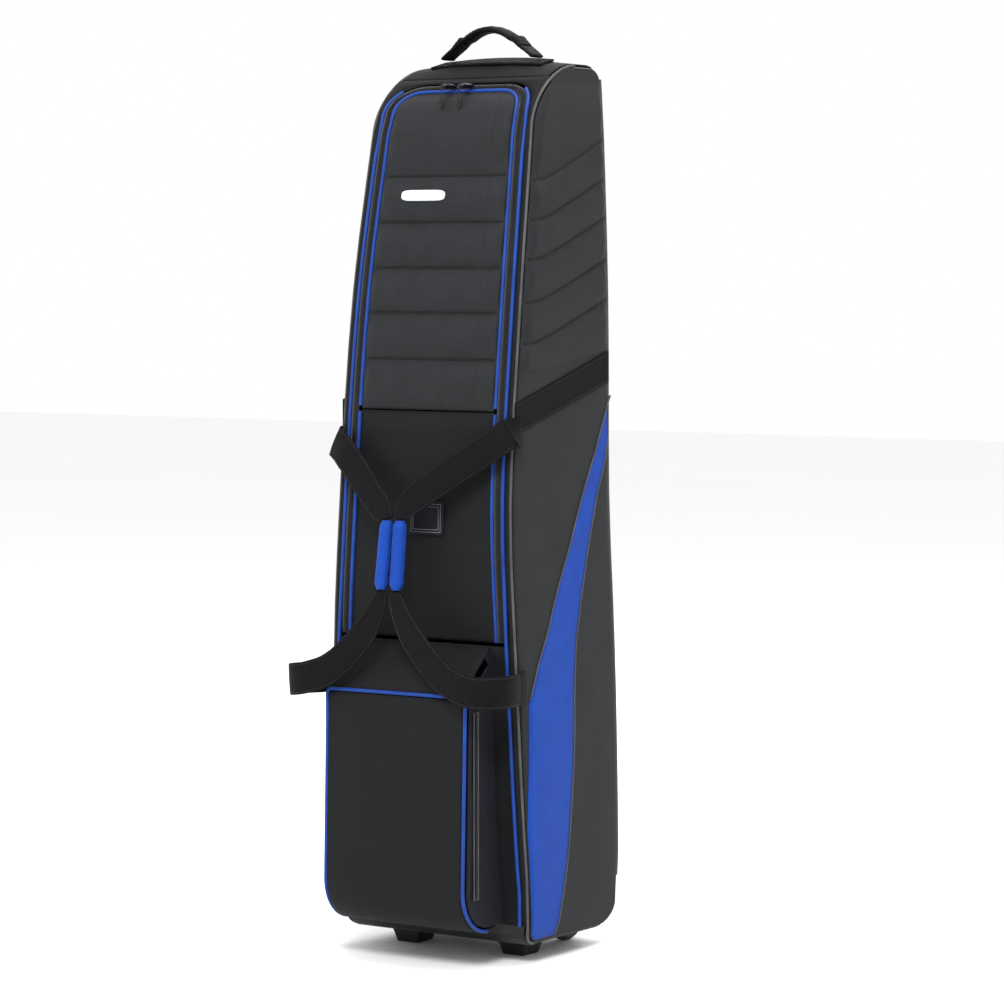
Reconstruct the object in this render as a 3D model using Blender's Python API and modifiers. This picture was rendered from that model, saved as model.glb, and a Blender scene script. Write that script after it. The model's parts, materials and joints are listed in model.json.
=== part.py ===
"""Upright golf travel case: sewn shell, front door, shoe pocket, haul loops, feet and wheels.

Metres, +Z up, the front faces -Y. The origin is on the floor under the middle of the case.
"""

import math

import bmesh
import bpy
import numpy as np
from mathutils import Matrix, Vector

# ---------------------------------------------------------------- driving dimensions
AXIS_Y = 0.037            # the body's middle plane lies this far behind the origin
BOTTOM_Z = 0.026          # underside of the base tray
TOP_Z = 1.262             # top of the side panels; the hood is crowned above it
HOOD_FRONT_Z = 1.165      # where the upright front turns into the hood
HOOD_FRONT_Y = -0.061     # front plane there, from the middle plane
HOOD_REAR_Y = 0.060       # where the hood's front curve becomes level
HOOD_ROUNDNESS = 1.7      # exponent of the hood's curve, 2 is an ellipse
HOOD_CROWN = 0.008        # rise of the hood at its middle
BACK_Y = 0.128            # flat back, from the middle plane
CORNER_FRONT_R = 0.024    # bottom front corner
CORNER_REAR_R = 0.034     # bottom rear corner
CORNER_TOP_R = 0.028      # top rear corner

# Front plane's y and the half-width at a few heights, from the middle plane.
FRONT_Z = (0.050, 0.170, 0.390, 0.640, 0.930, 1.165)
FRONT_Y = (-0.102, -0.117, -0.129, -0.129, -0.100, HOOD_FRONT_Y)
WIDTH_Z = (0.026, 0.060, 0.100, 0.310, 0.460, 0.640, 0.930, 1.165, 1.262)
WIDTH_X = (0.154, 0.162, 0.165, 0.162, 0.157, 0.1485, 0.146, 0.138, 0.132)

SKIN = 0.004              # sewn fabric panel with its foam skin
BOARD = 0.003             # stiffener board
FOAM = 0.006              # foam pads behind quilted panels
GAP = 0.0003              # clearance between pieces that touch
CORD_R = 0.0030           # grey piping in the corner seams
PIPING_R = 0.0026         # blue piping round the opening
PIPING_LIFT = 0.0006      # how far the piping stands proud of the skin
ZIP_W = 0.0118            # zip tape round the door
STRIP_W = 0.0034          # fabric strip outside the outer piping

DOOR_BOTTOM_Z = 0.455     # lower edge of the door
CREASE_Z = 0.775          # fold between the two door leaves
DOOR_TOP_Y = -0.030       # the door's top edge on the hood, from the middle plane
DOOR_CORNER_R = 0.032
HOOD_SEAM = 0.012         # strip of surround above the zip, along the surface

PULL_LENGTH = 0.028

POCKET_HALF_W = 0.120
POCKET_TOP_Z = 0.386      # front top edge
POCKET_LID_Z = 0.438      # where the lid meets the body
POCKET_BOTTOM_Z = 0.050
POCKET_TOP_Y = -0.197     # front plane at the top, from the middle plane
POCKET_LOW_Y = -0.204     # front plane low down
POCKET_CORNER_R = 0.060

BAND_FRONT_Z = 0.056      # top of the base tray's front band
BAND_REAR_Z = 0.098       # top of the base tray's rear band

STRAP_W = 0.045           # haul strap and side webbing width
STRAP_T = 0.0030
GRIP_R = 0.0105
GRIP_LEN = 0.097
GRIP_TOP_Z = 0.622

HANDLE_Y = 0.043          # top handle, from the middle plane
HANDLE_HALF_SPAN = 0.077
HANDLE_RISE = 0.043
HANDLE_W = 0.032
HANDLE_T = 0.0045
SLEEVE_T = 0.011
SLEEVE_END = 0.60        # share of the half span where the sleeve ends
WEBBING_END = 0.66       # share where the sewn-down webbing begins
HANDLE_SEAT = 0.0045      # outer face of the base strip over the hood

FOOT_X = 0.092
FOOT_Y = (-0.045, 0.005)  # from the middle plane
FOOT_TOP_W = 0.050
FOOT_LOW_W = 0.034

WHEEL_X = 0.088
WHEEL_Y = 0.101           # from the middle plane
WHEEL_R = 0.035
TYRE_W = 0.024
HUB_R = 0.020
BEARING_R = 0.011
AXLE_R = 0.004
BOLT_HEAD = 0.003
HOUSING_W = 0.044
HOUSING_CHEEK = 0.006
HOUSING_TOP_Z = 0.082
HOUSING_FRONT_Y = 0.060   # from the middle plane
HOUSING_BACK_Y = 0.124
RUNNING = 0.0004          # clearance of the wheel on its axle

COLOURS = {
    "black_cloth": ((0.020, 0.021, 0.023), 0.85, 0.0),
    "grey_cloth": ((0.045, 0.046, 0.050), 0.80, 0.0),
    "blue_cloth": ((0.010, 0.075, 0.55), 0.70, 0.0),
    "piping_blue": ((0.015, 0.12, 0.62), 0.45, 0.0),
    "piping_grey": ((0.22, 0.22, 0.23), 0.40, 0.0),
    "webbing": ((0.012, 0.012, 0.013), 0.80, 0.0),
    "plastic": ((0.015, 0.015, 0.016), 0.45, 0.0),
    "foam": ((0.10, 0.10, 0.11), 0.95, 0.0),
    "board": ((0.16, 0.15, 0.13), 0.80, 0.0),
    "zip": ((0.020, 0.020, 0.022), 0.50, 0.0),
    "tyre": ((0.030, 0.030, 0.032), 0.60, 0.0),
    "hub": ((0.18, 0.18, 0.19), 0.45, 0.0),
    "steel": ((0.55, 0.55, 0.56), 0.30, 1.0),
    "badge": ((0.75, 0.75, 0.76), 0.40, 0.0),
}


# ---------------------------------------------------------------- scene helpers
def clear_scene():
    """Remove whatever the file starts with."""
    for item in list(bpy.data.objects):
        bpy.data.objects.remove(item, do_unlink=True)


def new_collection(name):
    """Make a collection under the scene's own."""
    group = bpy.data.collections.new(name)
    bpy.context.scene.collection.children.link(group)
    return group


clear_scene()
PARTS = new_collection("golf_travel_case")
CUTTERS = new_collection("cutters")
MATERIALS = {}


def material(name):
    """One Principled material for each finish."""
    if name not in MATERIALS:
        colour, roughness, metallic = COLOURS[name]
        made = bpy.data.materials.new(name)
        made.use_nodes = True
        shader = made.node_tree.nodes["Principled BSDF"]
        shader.inputs["Base Color"].default_value = (*colour, 1.0)
        shader.inputs["Roughness"].default_value = roughness
        shader.inputs["Metallic"].default_value = metallic
        made.diffuse_color = (*colour, 1.0)
        MATERIALS[name] = made
    return MATERIALS[name]


def empty(name, location):
    """An empty on a joint's axis."""
    pivot = bpy.data.objects.new(name, None)
    pivot.location = location
    pivot.empty_display_size = 0.03
    PARTS.objects.link(pivot)
    return pivot


def add_object(name, data, finish, pivot=None, group=None):
    """Link an object whose mesh is in world places, and hang it on its pivot."""
    item = bpy.data.objects.new(name, data)
    (group or PARTS).objects.link(item)
    if finish:
        data.materials.append(material(finish))
    if pivot:
        item.parent = pivot
        item.matrix_parent_inverse = Matrix.Translation(-pivot.location)
    return item


def mesh_from(name, build):
    """Make a mesh from a function that fills a bmesh."""
    work = bmesh.new()
    build(work)
    bmesh.ops.recalc_face_normals(work, faces=work.faces)
    data = bpy.data.meshes.new(name)
    work.to_mesh(data)
    work.free()
    return data


# ---------------------------------------------------------------- shape helpers
def sheet(name, rows, thickness, finish, pivot=None, skip=None, outward=None):
    """A fabric panel: a grid of points with a Solidify shell on its inner side.

    rows are equal lists of points; skip(row, column) leaves a quad open; outward is the
    direction that the first quad faces.
    """
    work = bmesh.new()
    grid = [[work.verts.new(p) for p in row] for row in rows]
    for i in range(len(rows) - 1):
        for j in range(len(rows[0]) - 1):
            if skip and skip(i, j):
                continue
            work.faces.new((grid[i][j], grid[i][j + 1], grid[i + 1][j + 1], grid[i + 1][j]))
    work.normal_update()
    work.faces.ensure_lookup_table()
    if work.faces[0].normal.dot(Vector(outward)) < 0:
        bmesh.ops.reverse_faces(work, faces=work.faces[:])
    loose = [v for v in work.verts if not v.link_faces]
    bmesh.ops.delete(work, geom=loose, context="VERTS")
    data = bpy.data.meshes.new(name)
    work.to_mesh(data)
    work.free()
    data.shade_smooth()
    item = add_object(name, data, finish, pivot)
    shell = item.modifiers.new("shell", "SOLIDIFY")
    shell.thickness = thickness
    shell.offset = -1.0
    shell.use_even_offset = True
    return item


def loft(name, sections, finish, pivot=None, smooth=True):
    """A closed body through equal rings of points, capped at both ends."""
    def build(work):
        rings = [[work.verts.new(p) for p in ring] for ring in sections]
        count = len(rings[0])
        for a, b in zip(rings, rings[1:]):
            for k in range(count):
                work.faces.new((a[k], a[(k + 1) % count], b[(k + 1) % count], b[k]))
        work.faces.new(rings[0][::-1])
        work.faces.new(rings[-1])

    data = mesh_from(name, build)
    if smooth:
        data.shade_smooth()
        data.set_sharp_from_angle(angle=math.radians(40))
    return add_object(name, data, finish, pivot)


def smooth_path(points, steps):
    """Points along a Catmull-Rom curve through the given ones."""
    pts = [np.array(p, float) for p in points]
    pts = [2 * pts[0] - pts[1]] + pts + [2 * pts[-1] - pts[-2]]
    out = []
    for i in range(1, len(pts) - 2):
        a, b, c, d = pts[i - 1:i + 3]
        for k in range(steps):
            t = k / steps
            out.append(0.5 * (2 * b + (c - a) * t + (2 * a - 5 * b + 4 * c - d) * t ** 2
                              + (3 * b - a - 3 * c + d) * t ** 3))
    out.append(pts[-2])
    return out


def ribbon(name, path, normals, width, thickness, finish, pivot=None):
    """Webbing: a flat strip along a path, its face turned to the given normals."""
    count = len(path)
    widths = np.interp(np.linspace(0, 1, count), np.linspace(0, 1, len(width)), width)
    stations = np.linspace(0, 1, len(normals))
    sections = []
    for i, p in enumerate(path):
        ahead = Vector(path[min(i + 1, count - 1)]) - Vector(path[max(i - 1, 0)])
        ahead.normalize()
        t = i / (count - 1)
        n = Vector([np.interp(t, stations, [v[k] for v in normals]) for k in range(3)])
        side = ahead.cross(n).normalized() * widths[i] / 2
        out = side.cross(ahead).normalized() * thickness / 2
        p = Vector(p)
        sections.append([p - side - out, p + side - out, p + side + out, p - side + out])
    return loft(name, sections, finish, pivot, smooth=False)


def tube(name, path, radius, finish, pivot=None):
    """A cord: a POLY curve with a bevel and filled caps."""
    curve = bpy.data.curves.new(name, "CURVE")
    curve.dimensions = "3D"
    spline = curve.splines.new("POLY")
    spline.points.add(len(path) - 1)
    for point, place in zip(spline.points, path):
        point.co = (*place, 1.0)
    curve.bevel_depth = radius
    curve.bevel_resolution = 1
    curve.use_fill_caps = True
    return add_object(name, curve, finish, pivot)


def box(name, low, high, finish, pivot=None, bevel=0.0, group=None):
    """A block between two corners, with rounded edges."""
    low, high = Vector(low), Vector(high)

    def build(work):
        bmesh.ops.create_cube(work, size=1.0)
        bmesh.ops.scale(work, vec=high - low, verts=work.verts)
        bmesh.ops.translate(work, vec=(low + high) / 2, verts=work.verts)

    item = add_object(name, mesh_from(name, build), finish, pivot, group)
    if bevel:
        edge = item.modifiers.new("edges", "BEVEL")
        edge.width = bevel
        edge.segments = 2
        edge.limit_method = "ANGLE"
    return item


def cylinder(name, centre, radius, length, finish, pivot=None, sides=24, group=None):
    """A rod along X about its centre."""
    def build(work):
        bmesh.ops.create_cone(work, cap_ends=True, segments=sides, radius1=radius,
                              radius2=radius, depth=length)
        bmesh.ops.rotate(work, verts=work.verts, matrix=Matrix.Rotation(math.pi / 2, 3, "Y"))
        bmesh.ops.translate(work, vec=Vector(centre), verts=work.verts)

    return add_object(name, mesh_from(name, build), finish, pivot, group)


def turned(name, centre, profile, finish, pivot, sides=32):
    """A ring turned about X: profile is a closed outline of (x, radius) points."""
    data = bpy.data.meshes.new(name)
    area = sum(a[0] * b[1] - b[0] * a[1] for a, b in zip(profile, profile[1:] + profile[:1]))
    if area < 0:
        profile = profile[::-1]
    verts = [(x, 0.0, r) for x, r in profile]
    edges = [(i, (i + 1) % len(verts)) for i in range(len(verts))]
    data.from_pydata(verts, edges, [])
    item = add_object(name, data, finish)
    item.location = Vector(centre) - pivot.location
    item.parent = pivot
    spin = item.modifiers.new("turn", "SCREW")
    spin.axis = "X"
    spin.steps = sides
    spin.render_steps = sides
    spin.use_merge_vertices = True
    spin.merge_threshold = 0.00001
    return item


def cut(item, cutter):
    """Subtract a cutter from an object."""
    cutter.hide_render = True
    cutter.display_type = "WIRE"
    step = item.modifiers.new("cut", "BOOLEAN")
    step.operation = "DIFFERENCE"
    step.object = cutter
    return step


# ---------------------------------------------------------------- the body's outline
def curve_value(z, heights, values):
    """Smooth value between stations, by a Catmull-Rom through them."""
    z = min(max(z, heights[0]), heights[-1])
    i = min(max(np.searchsorted(heights, z) - 1, 0), len(heights) - 2)
    h = heights[i + 1] - heights[i]
    t = (z - heights[i]) / h

    def slope(k):
        a, b = max(k - 1, 0), min(k + 1, len(heights) - 1)
        return (values[b] - values[a]) / (heights[b] - heights[a])

    return float((2 * t ** 3 - 3 * t ** 2 + 1) * values[i] + (t ** 3 - 2 * t ** 2 + t) * h * slope(i)
                 + (3 * t ** 2 - 2 * t ** 3) * values[i + 1] + (t ** 3 - t ** 2) * h * slope(i + 1))


def front_y(z):
    """The front plane's y at a height."""
    return AXIS_Y + curve_value(z, FRONT_Z, FRONT_Y)


def half_width(z):
    """The body's half-width at a height."""
    return curve_value(z, WIDTH_Z, WIDTH_X)


def hood_z(y):
    """Height of the hood's side line above a place y."""
    depth = HOOD_REAR_Y - HOOD_FRONT_Y
    u = min(max((AXIS_Y + HOOD_REAR_Y - y) / depth, 0.0), 1.0)
    rise = (1 - u ** HOOD_ROUNDNESS) ** (1 / HOOD_ROUNDNESS)
    return HOOD_FRONT_Z + (TOP_Z - HOOD_FRONT_Z) * rise


UPRIGHT_ROWS = 16
HOOD_ROWS = 9
CORNER_ROWS = 5


def front_line(inset=0.0):
    """(y, z) points up the front, from the bottom edge to the level top of the hood."""
    r = CORNER_FRONT_R
    y0 = front_y(BOTTOM_Z + r)
    out = []
    for k in range(CORNER_ROWS):
        a = math.pi / 2 * k / CORNER_ROWS
        out.append((y0 + r - (r - inset) * math.sin(a), BOTTOM_Z + r - (r - inset) * math.cos(a)))
    for z in np.linspace(BOTTOM_Z + r, HOOD_FRONT_Z, UPRIGHT_ROWS):
        out.append((front_y(z) + inset, float(z)))
    depth, rise = HOOD_REAR_Y - HOOD_FRONT_Y - inset, TOP_Z - HOOD_FRONT_Z - inset
    for k in range(1, HOOD_ROWS + 1):
        a = math.pi / 2 * k / HOOD_ROWS
        power = 2 / HOOD_ROUNDNESS
        out.append((AXIS_Y + HOOD_REAR_Y - depth * math.cos(a) ** power,
                    HOOD_FRONT_Z + rise * math.sin(a) ** power))
    return out


def rear_line(inset=0.0):
    """(y, z) points up the back, one for each point of the front line."""
    r, rt, back = CORNER_REAR_R, CORNER_TOP_R, AXIS_Y + BACK_Y
    out = []
    for k in range(CORNER_ROWS):
        a = math.pi / 2 * k / CORNER_ROWS
        out.append((back - r + (r - inset) * math.sin(a), BOTTOM_Z + r - (r - inset) * math.cos(a)))
    for z in np.linspace(BOTTOM_Z + r, HOOD_FRONT_Z, UPRIGHT_ROWS):
        out.append((back - inset, float(z)))
    for k in range(1, HOOD_ROWS + 1):
        a = math.pi / 2 * k / HOOD_ROWS
        out.append((back - rt + (rt - inset) * math.cos(a), TOP_Z - rt + (rt - inset) * math.sin(a)))
    return out


def skin_row(y, z, offset, crown):
    """Two edge points and the crowned middle ones of the skin at one outline point."""
    w = half_width(z) - offset
    return [(w * f, y, z + crown * (1 - f * f)) for f in np.linspace(-1, 1, 9)]


CORNER_NOTCH = 2 * CORD_R + GAP
EDGE_X = CORNER_NOTCH + 4 * GAP          # the skin stops this far inside the half-width
OUTER_PIPING_X = EDGE_X + STRIP_W + PIPING_R + GAP
ZIP_X = OUTER_PIPING_X + PIPING_R + GAP
DOOR_PIPING_X = ZIP_X + ZIP_W + PIPING_R + GAP
DOOR_X = DOOR_PIPING_X + PIPING_R + GAP


def hood_point(a):
    """(y, z) on the hood's side line at an angle from its upright start."""
    power = 2 / HOOD_ROUNDNESS
    return (AXIS_Y + HOOD_REAR_Y - (HOOD_REAR_Y - HOOD_FRONT_Y) * math.cos(a) ** power,
            HOOD_FRONT_Z + (TOP_Z - HOOD_FRONT_Z) * math.sin(a) ** power)


def hood_angle(y):
    """The angle of hood_point at a place y."""
    share = (AXIS_Y + HOOD_REAR_Y - y) / (HOOD_REAR_Y - HOOD_FRONT_Y)
    return math.acos(share ** (HOOD_ROUNDNESS / 2))


def front_curve():
    """Finely spaced (length, y, z) stations up the front from the door's lower edge."""
    points = [(front_y(z), float(z)) for z in np.linspace(DOOR_BOTTOM_Z, HOOD_FRONT_Z, 60)]
    points += [hood_point(a) for a in np.linspace(0, math.pi / 2, 40)[1:]]
    lengths = [0.0]
    for a, b in zip(points, points[1:]):
        lengths.append(lengths[-1] + math.dist(a, b))
    return lengths, [p[0] for p in points], [p[1] for p in points]


FRONT_CURVE = front_curve()


def on_front(s):
    """(y, z) on the front at a length above the door's lower edge."""
    lengths, ys, zs = FRONT_CURVE
    return float(np.interp(s, lengths, ys)), float(np.interp(s, lengths, zs))


DOOR_LENGTH = float(np.interp(AXIS_Y + DOOR_TOP_Y, FRONT_CURVE[1][59:], FRONT_CURVE[0][59:]))
CREASE_LENGTH = float(np.interp(CREASE_Z, FRONT_CURVE[2], FRONT_CURVE[0]))


def line_top(offset):
    """Length at which a line round the door, offset in from the body's edge, turns over."""
    return DOOR_LENGTH + DOOR_X - offset


def line_half(s, offset):
    """Half-width of a line round the door: straight sides and a round corner."""
    radius = DOOR_CORNER_R + DOOR_X - offset
    below = line_top(offset) - s
    if below >= radius:
        pull = 0.0
    else:
        pull = radius - math.sqrt(max(radius ** 2 - (radius - below) ** 2, 0.0))
    return half_width(on_front(s)[1]) - offset - pull


def line_stations(offset, low=0.0, sides=12):
    """Lengths along a line round the door, closer together round its corner."""
    radius = DOOR_CORNER_R + DOOR_X - offset
    top = line_top(offset)
    turn = [top - radius * (1 - math.sin(a)) for a in np.linspace(0, math.pi / 2, 7)]
    return list(np.linspace(low, top - radius, sides))[:-1] + turn


HOOD_SEAM_LENGTH = line_top(EDGE_X + STRIP_W) + HOOD_SEAM


# ---------------------------------------------------------------- body shell
def side_panels():
    """Side panels, from the rounded bottom corners to the hood."""
    inset = CORNER_NOTCH
    front, rear = front_line(inset), rear_line(inset)
    for name, sign in (("left", -1), ("right", 1)):
        rows = []
        for (ya, za), (yb, zb) in zip(front, rear):
            row = []
            for f in np.linspace(0, 1, 4):
                y, z = ya + (yb - ya) * f, za + (zb - za) * f
                row.append((sign * half_width(z), y, z))
            rows.append(row)
        sheet(f"side_panel_{name}", rows, SKIN, "grey_cloth", outward=(sign, 0, 0))


def back_and_hood():
    """Flat back with its stiffener board, and the crowned hood."""
    back = AXIS_Y + BACK_Y
    seam_z = TOP_Z - CORNER_TOP_R
    rows = [[(s * (half_width(z) - EDGE_X), back, z) for s in (-1, 1)]
            for z in np.linspace(BAND_REAR_Z + 4 * GAP, seam_z - 4 * GAP, 12)]
    sheet("back_panel", rows, SKIN, "black_cloth", outward=(0, 1, 0))
    inner = back - SKIN - GAP
    rows = [[(s * (half_width(z) - EDGE_X - 0.010), inner, z) for s in (-1, 1)]
            for z in np.linspace(BAND_REAR_Z + 0.02, seam_z - 0.08, 6)]
    sheet("back_stiffener_board", rows, BOARD, "board", outward=(0, 1, 0))

    first = hood_angle(on_front(HOOD_SEAM_LENGTH + 2 * GAP)[0])
    points = [hood_point(a) for a in np.linspace(first, math.pi / 2, 7)]
    r = CORNER_TOP_R
    for k in range(5):
        a = math.pi / 2 * (1 - k / 4)
        points.append((back - r + r * math.cos(a), TOP_Z - r + r * math.sin(a)))
    rows = [skin_row(y, z, EDGE_X, crown=hood_crown(y)) for y, z in points]
    sheet("hood_panel", rows, SKIN, "black_cloth", outward=(0, -1, 1))


def hood_crown(y):
    """Rise of the hood's middle over its side line at a place y."""
    low, high = on_front(HOOD_SEAM_LENGTH)[0], AXIS_Y + BACK_Y
    share = min(max((y - low) / (high - low), 0.0), 1.0)
    return HOOD_CROWN * math.sin(math.pi * share) ** 0.7


def base_tray():
    """Moulded channel that closes the bottom, cut out for the wheel housings."""
    front, rear = front_line(), rear_line()
    path = [(front_y(BAND_FRONT_Z), BAND_FRONT_Z)]
    path += [p for p in front[CORNER_ROWS::-1]]
    path += [p for p in rear[:CORNER_ROWS + 1]]
    path += [(AXIS_Y + BACK_Y, BAND_REAR_Z)]
    rows = [[(s * (half_width(z) - EDGE_X), y, z) for s in (-1, 1)] for y, z in path]
    tray = sheet("base_tray", rows, SKIN + 0.001, "plastic", outward=(0, -1, 0))
    for name, sign in (("left", -1), ("right", 1)):
        x, half = sign * WHEEL_X, HOUSING_W / 2 + BOLT_HEAD + 2 * GAP
        cutter = box(f"well_cutter_{name}",
                     (x - half, AXIS_Y + HOUSING_FRONT_Y - GAP, BOTTOM_Z - 0.02),
                     (x + half, AXIS_Y + BACK_Y + 0.05, HOUSING_TOP_Z + GAP), None, group=CUTTERS)
        cut(tray, cutter)


def front_surround():
    """Fixed front skin round the door, down to the base tray."""
    def row(y, z, inner):
        w = half_width(z) - EDGE_X
        return [(-w, y, z), (-inner, y, z), (inner, y, z), (w, y, z)]

    offset = EDGE_X + STRIP_W
    rows = [row(y, z, half_width(z) - offset) for y, z in front_path_low()]
    solid = len(rows) - 1
    for s in line_stations(offset):
        y, z = on_front(s)
        rows.append(row(y, z, line_half(s, offset)))
    opened = len(rows) - 1
    y, z = on_front(HOOD_SEAM_LENGTH)
    rows.append(row(y, z, rows[opened][2][0]))
    sheet("front_surround", rows, SKIN, "black_cloth", outward=(0, -1, 0),
          skip=lambda i, j: j == 1 and solid <= i < opened)


def front_path_low():
    """(y, z) points on the front surface from the base band to just below the door."""
    return [(front_y(z), float(z))
            for z in np.linspace(BAND_FRONT_Z + GAP, DOOR_BOTTOM_Z - 2 * PIPING_R - GAP, 10)]


def corner_piping():
    """Grey cord all round the front edge of each side panel."""
    line = front_line(CORD_R - 0.0004)
    for name, sign in (("left", -1), ("right", 1)):
        path = [(sign * (half_width(z) - CORD_R), y, z) for y, z in line]
        tube(f"side_piping_{name}", path, CORD_R - GAP, "piping_grey")


def outer_piping():
    """Blue cord outside the zip, down each side of the front."""
    low = [(half_width(z) - OUTER_PIPING_X, y - PIPING_R - GAP, z) for y, z in front_path_low()]
    up = []
    for s in line_stations(OUTER_PIPING_X)[:-3]:
        y, z = on_front(s)
        up.append((line_half(s, OUTER_PIPING_X), y - PIPING_LIFT, z))
    for name, sign in (("left", -1), ("right", 1)):
        tube(f"outer_piping_{name}", [(sign * x, y, z) for x, y, z in low + up[1:]],
             PIPING_R - GAP, "piping_blue")


# ---------------------------------------------------------------- door
FLAP_PIVOT = empty("door_pivot", (0, front_y(CREASE_Z), CREASE_Z))


def door_leaf(name, stations, offset, depth, thickness, finish, pivot):
    """A leaf of the door through stations up the front, set in from the surface by depth."""
    grid = []
    for s in stations:
        y, z = on_front(s)
        w = line_half(s, offset)
        grid.append([(w * f, y + depth, z) for f in np.linspace(-1, 1, 5)])
    return sheet(name, grid, thickness, finish, pivot, outward=(0, -1, 0))


def piping_points(offset, stations):
    """Points of a piping cord at stations up the right side of the door."""
    out = []
    for s in stations:
        y, z = on_front(s)
        out.append((line_half(s, offset), y - PIPING_LIFT, z))
    return out


def door():
    """The door's two leaves, foam, zip tape, edge piping and trim."""
    upper = [s for s in line_stations(DOOR_X, CREASE_LENGTH + GAP)]
    lower = list(np.linspace(0.0, CREASE_LENGTH - 3 * GAP, 6))
    door_leaf("door_leaf_upper", upper, DOOR_X, 0.0, SKIN, "grey_cloth", FLAP_PIVOT)
    door_leaf("door_leaf_lower", lower, DOOR_X, 0.0, SKIN, "black_cloth", None)
    backing = [s for s in upper if s < HOOD_FRONT_Z - DOOR_BOTTOM_Z][1:]
    door_leaf("door_foam", backing, DOOR_X + 0.012, SKIN + 2 * GAP, FOAM, "foam", FLAP_PIVOT)

    inner, outer = ZIP_X + ZIP_W, ZIP_X
    rows = []
    for a, b in zip(line_stations(inner), line_stations(outer)):
        (ya, za), (yb, zb) = on_front(a), on_front(b)
        rows.append([(line_half(b, outer), yb, zb), (line_half(a, inner), ya, za)])
    rows += [[(-x, y, z) for x, y, z in row] for row in rows[::-1]]
    sheet("zip_tape", rows, 0.0015, "zip", outward=(0, -1, 0))

    right = piping_points(DOOR_PIPING_X, line_stations(DOOR_PIPING_X, CREASE_LENGTH + 0.004))
    tube("door_piping_upper", right + [(-x, y, z) for x, y, z in right[::-1]], PIPING_R - GAP,
         "piping_blue", FLAP_PIVOT)
    right = piping_points(DOOR_PIPING_X, np.linspace(0.0, CREASE_LENGTH - 0.004, 8))
    for side, sign in (("left", -1), ("right", 1)):
        tube(f"door_piping_{side}", [(sign * x, y, z) for x, y, z in right], PIPING_R - GAP,
             "piping_blue")

    badge_z, badge_x = 1.074, -0.028
    rows = [[(badge_x + dx, front_y(z) - 0.002 - GAP, z) for dx in (-0.037, 0.037)]
            for z in (badge_z - 0.0075, badge_z + 0.0075)]
    sheet("badge", rows, 0.002, "badge", FLAP_PIVOT, outward=(0, -1, 0))
    rows = [[(dx, front_y(z) - 0.0015 - GAP, z) for dx in (-0.019, 0.039)] for z in (0.601, 0.648)]
    sheet("card_window", rows, 0.0015, "plastic", outward=(0, -1, 0))


def sliders():
    """Two sliders on the door's top run and one on the pocket's left gusset."""
    top_y, top_z = on_front(line_top(DOOR_PIPING_X))
    low_y, low_z = on_front(line_top(DOOR_PIPING_X) - PULL_LENGTH - 0.012)
    for side, x in (("left", -0.017), ("right", 0.013)):
        pivot = empty(f"{side}_slider_pivot", (x, top_y, top_z))
        bottom = top_z + PIPING_R + 0.0012
        box(f"door_slider_{side}", (x - 0.006, low_y - 0.004, bottom),
            (x + 0.006, top_y + 0.002, bottom + 0.007), "steel", pivot, bevel=0.0012)
        hinge = (x, low_y - 0.006, bottom)
        pull = empty(f"{side}_pull_pivot", hinge)
        box(f"door_pull_{side}", (x - 0.004, hinge[1] - 0.0015, bottom - PULL_LENGTH),
            (x + 0.004, hinge[1] + 0.0015, bottom + 0.001), "webbing", pull, bevel=0.0008)


# ---------------------------------------------------------------- pocket
def pocket_line(inset=0.0, reach=0.004):
    """(y, z) points down the pocket's front and round its bottom to the body."""
    r = POCKET_CORNER_R
    y_top, y_low = AXIS_Y + POCKET_TOP_Y, AXIS_Y + POCKET_LOW_Y
    low_z = POCKET_BOTTOM_Z + r
    out = [(y_top + (y_low - y_top) * t + inset, POCKET_TOP_Z + (low_z - POCKET_TOP_Z) * t)
           for t in np.linspace(0, 1, 6)]
    for k in range(1, 7):
        a = math.pi / 2 * k / 6
        out.append((y_low + r - (r - inset) * math.cos(a), low_z - (r - inset) * math.sin(a)))
    body_y = front_y(POCKET_BOTTOM_Z + 0.006) - reach
    out.append((body_y, POCKET_BOTTOM_Z + inset + 0.006))
    return out


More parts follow.
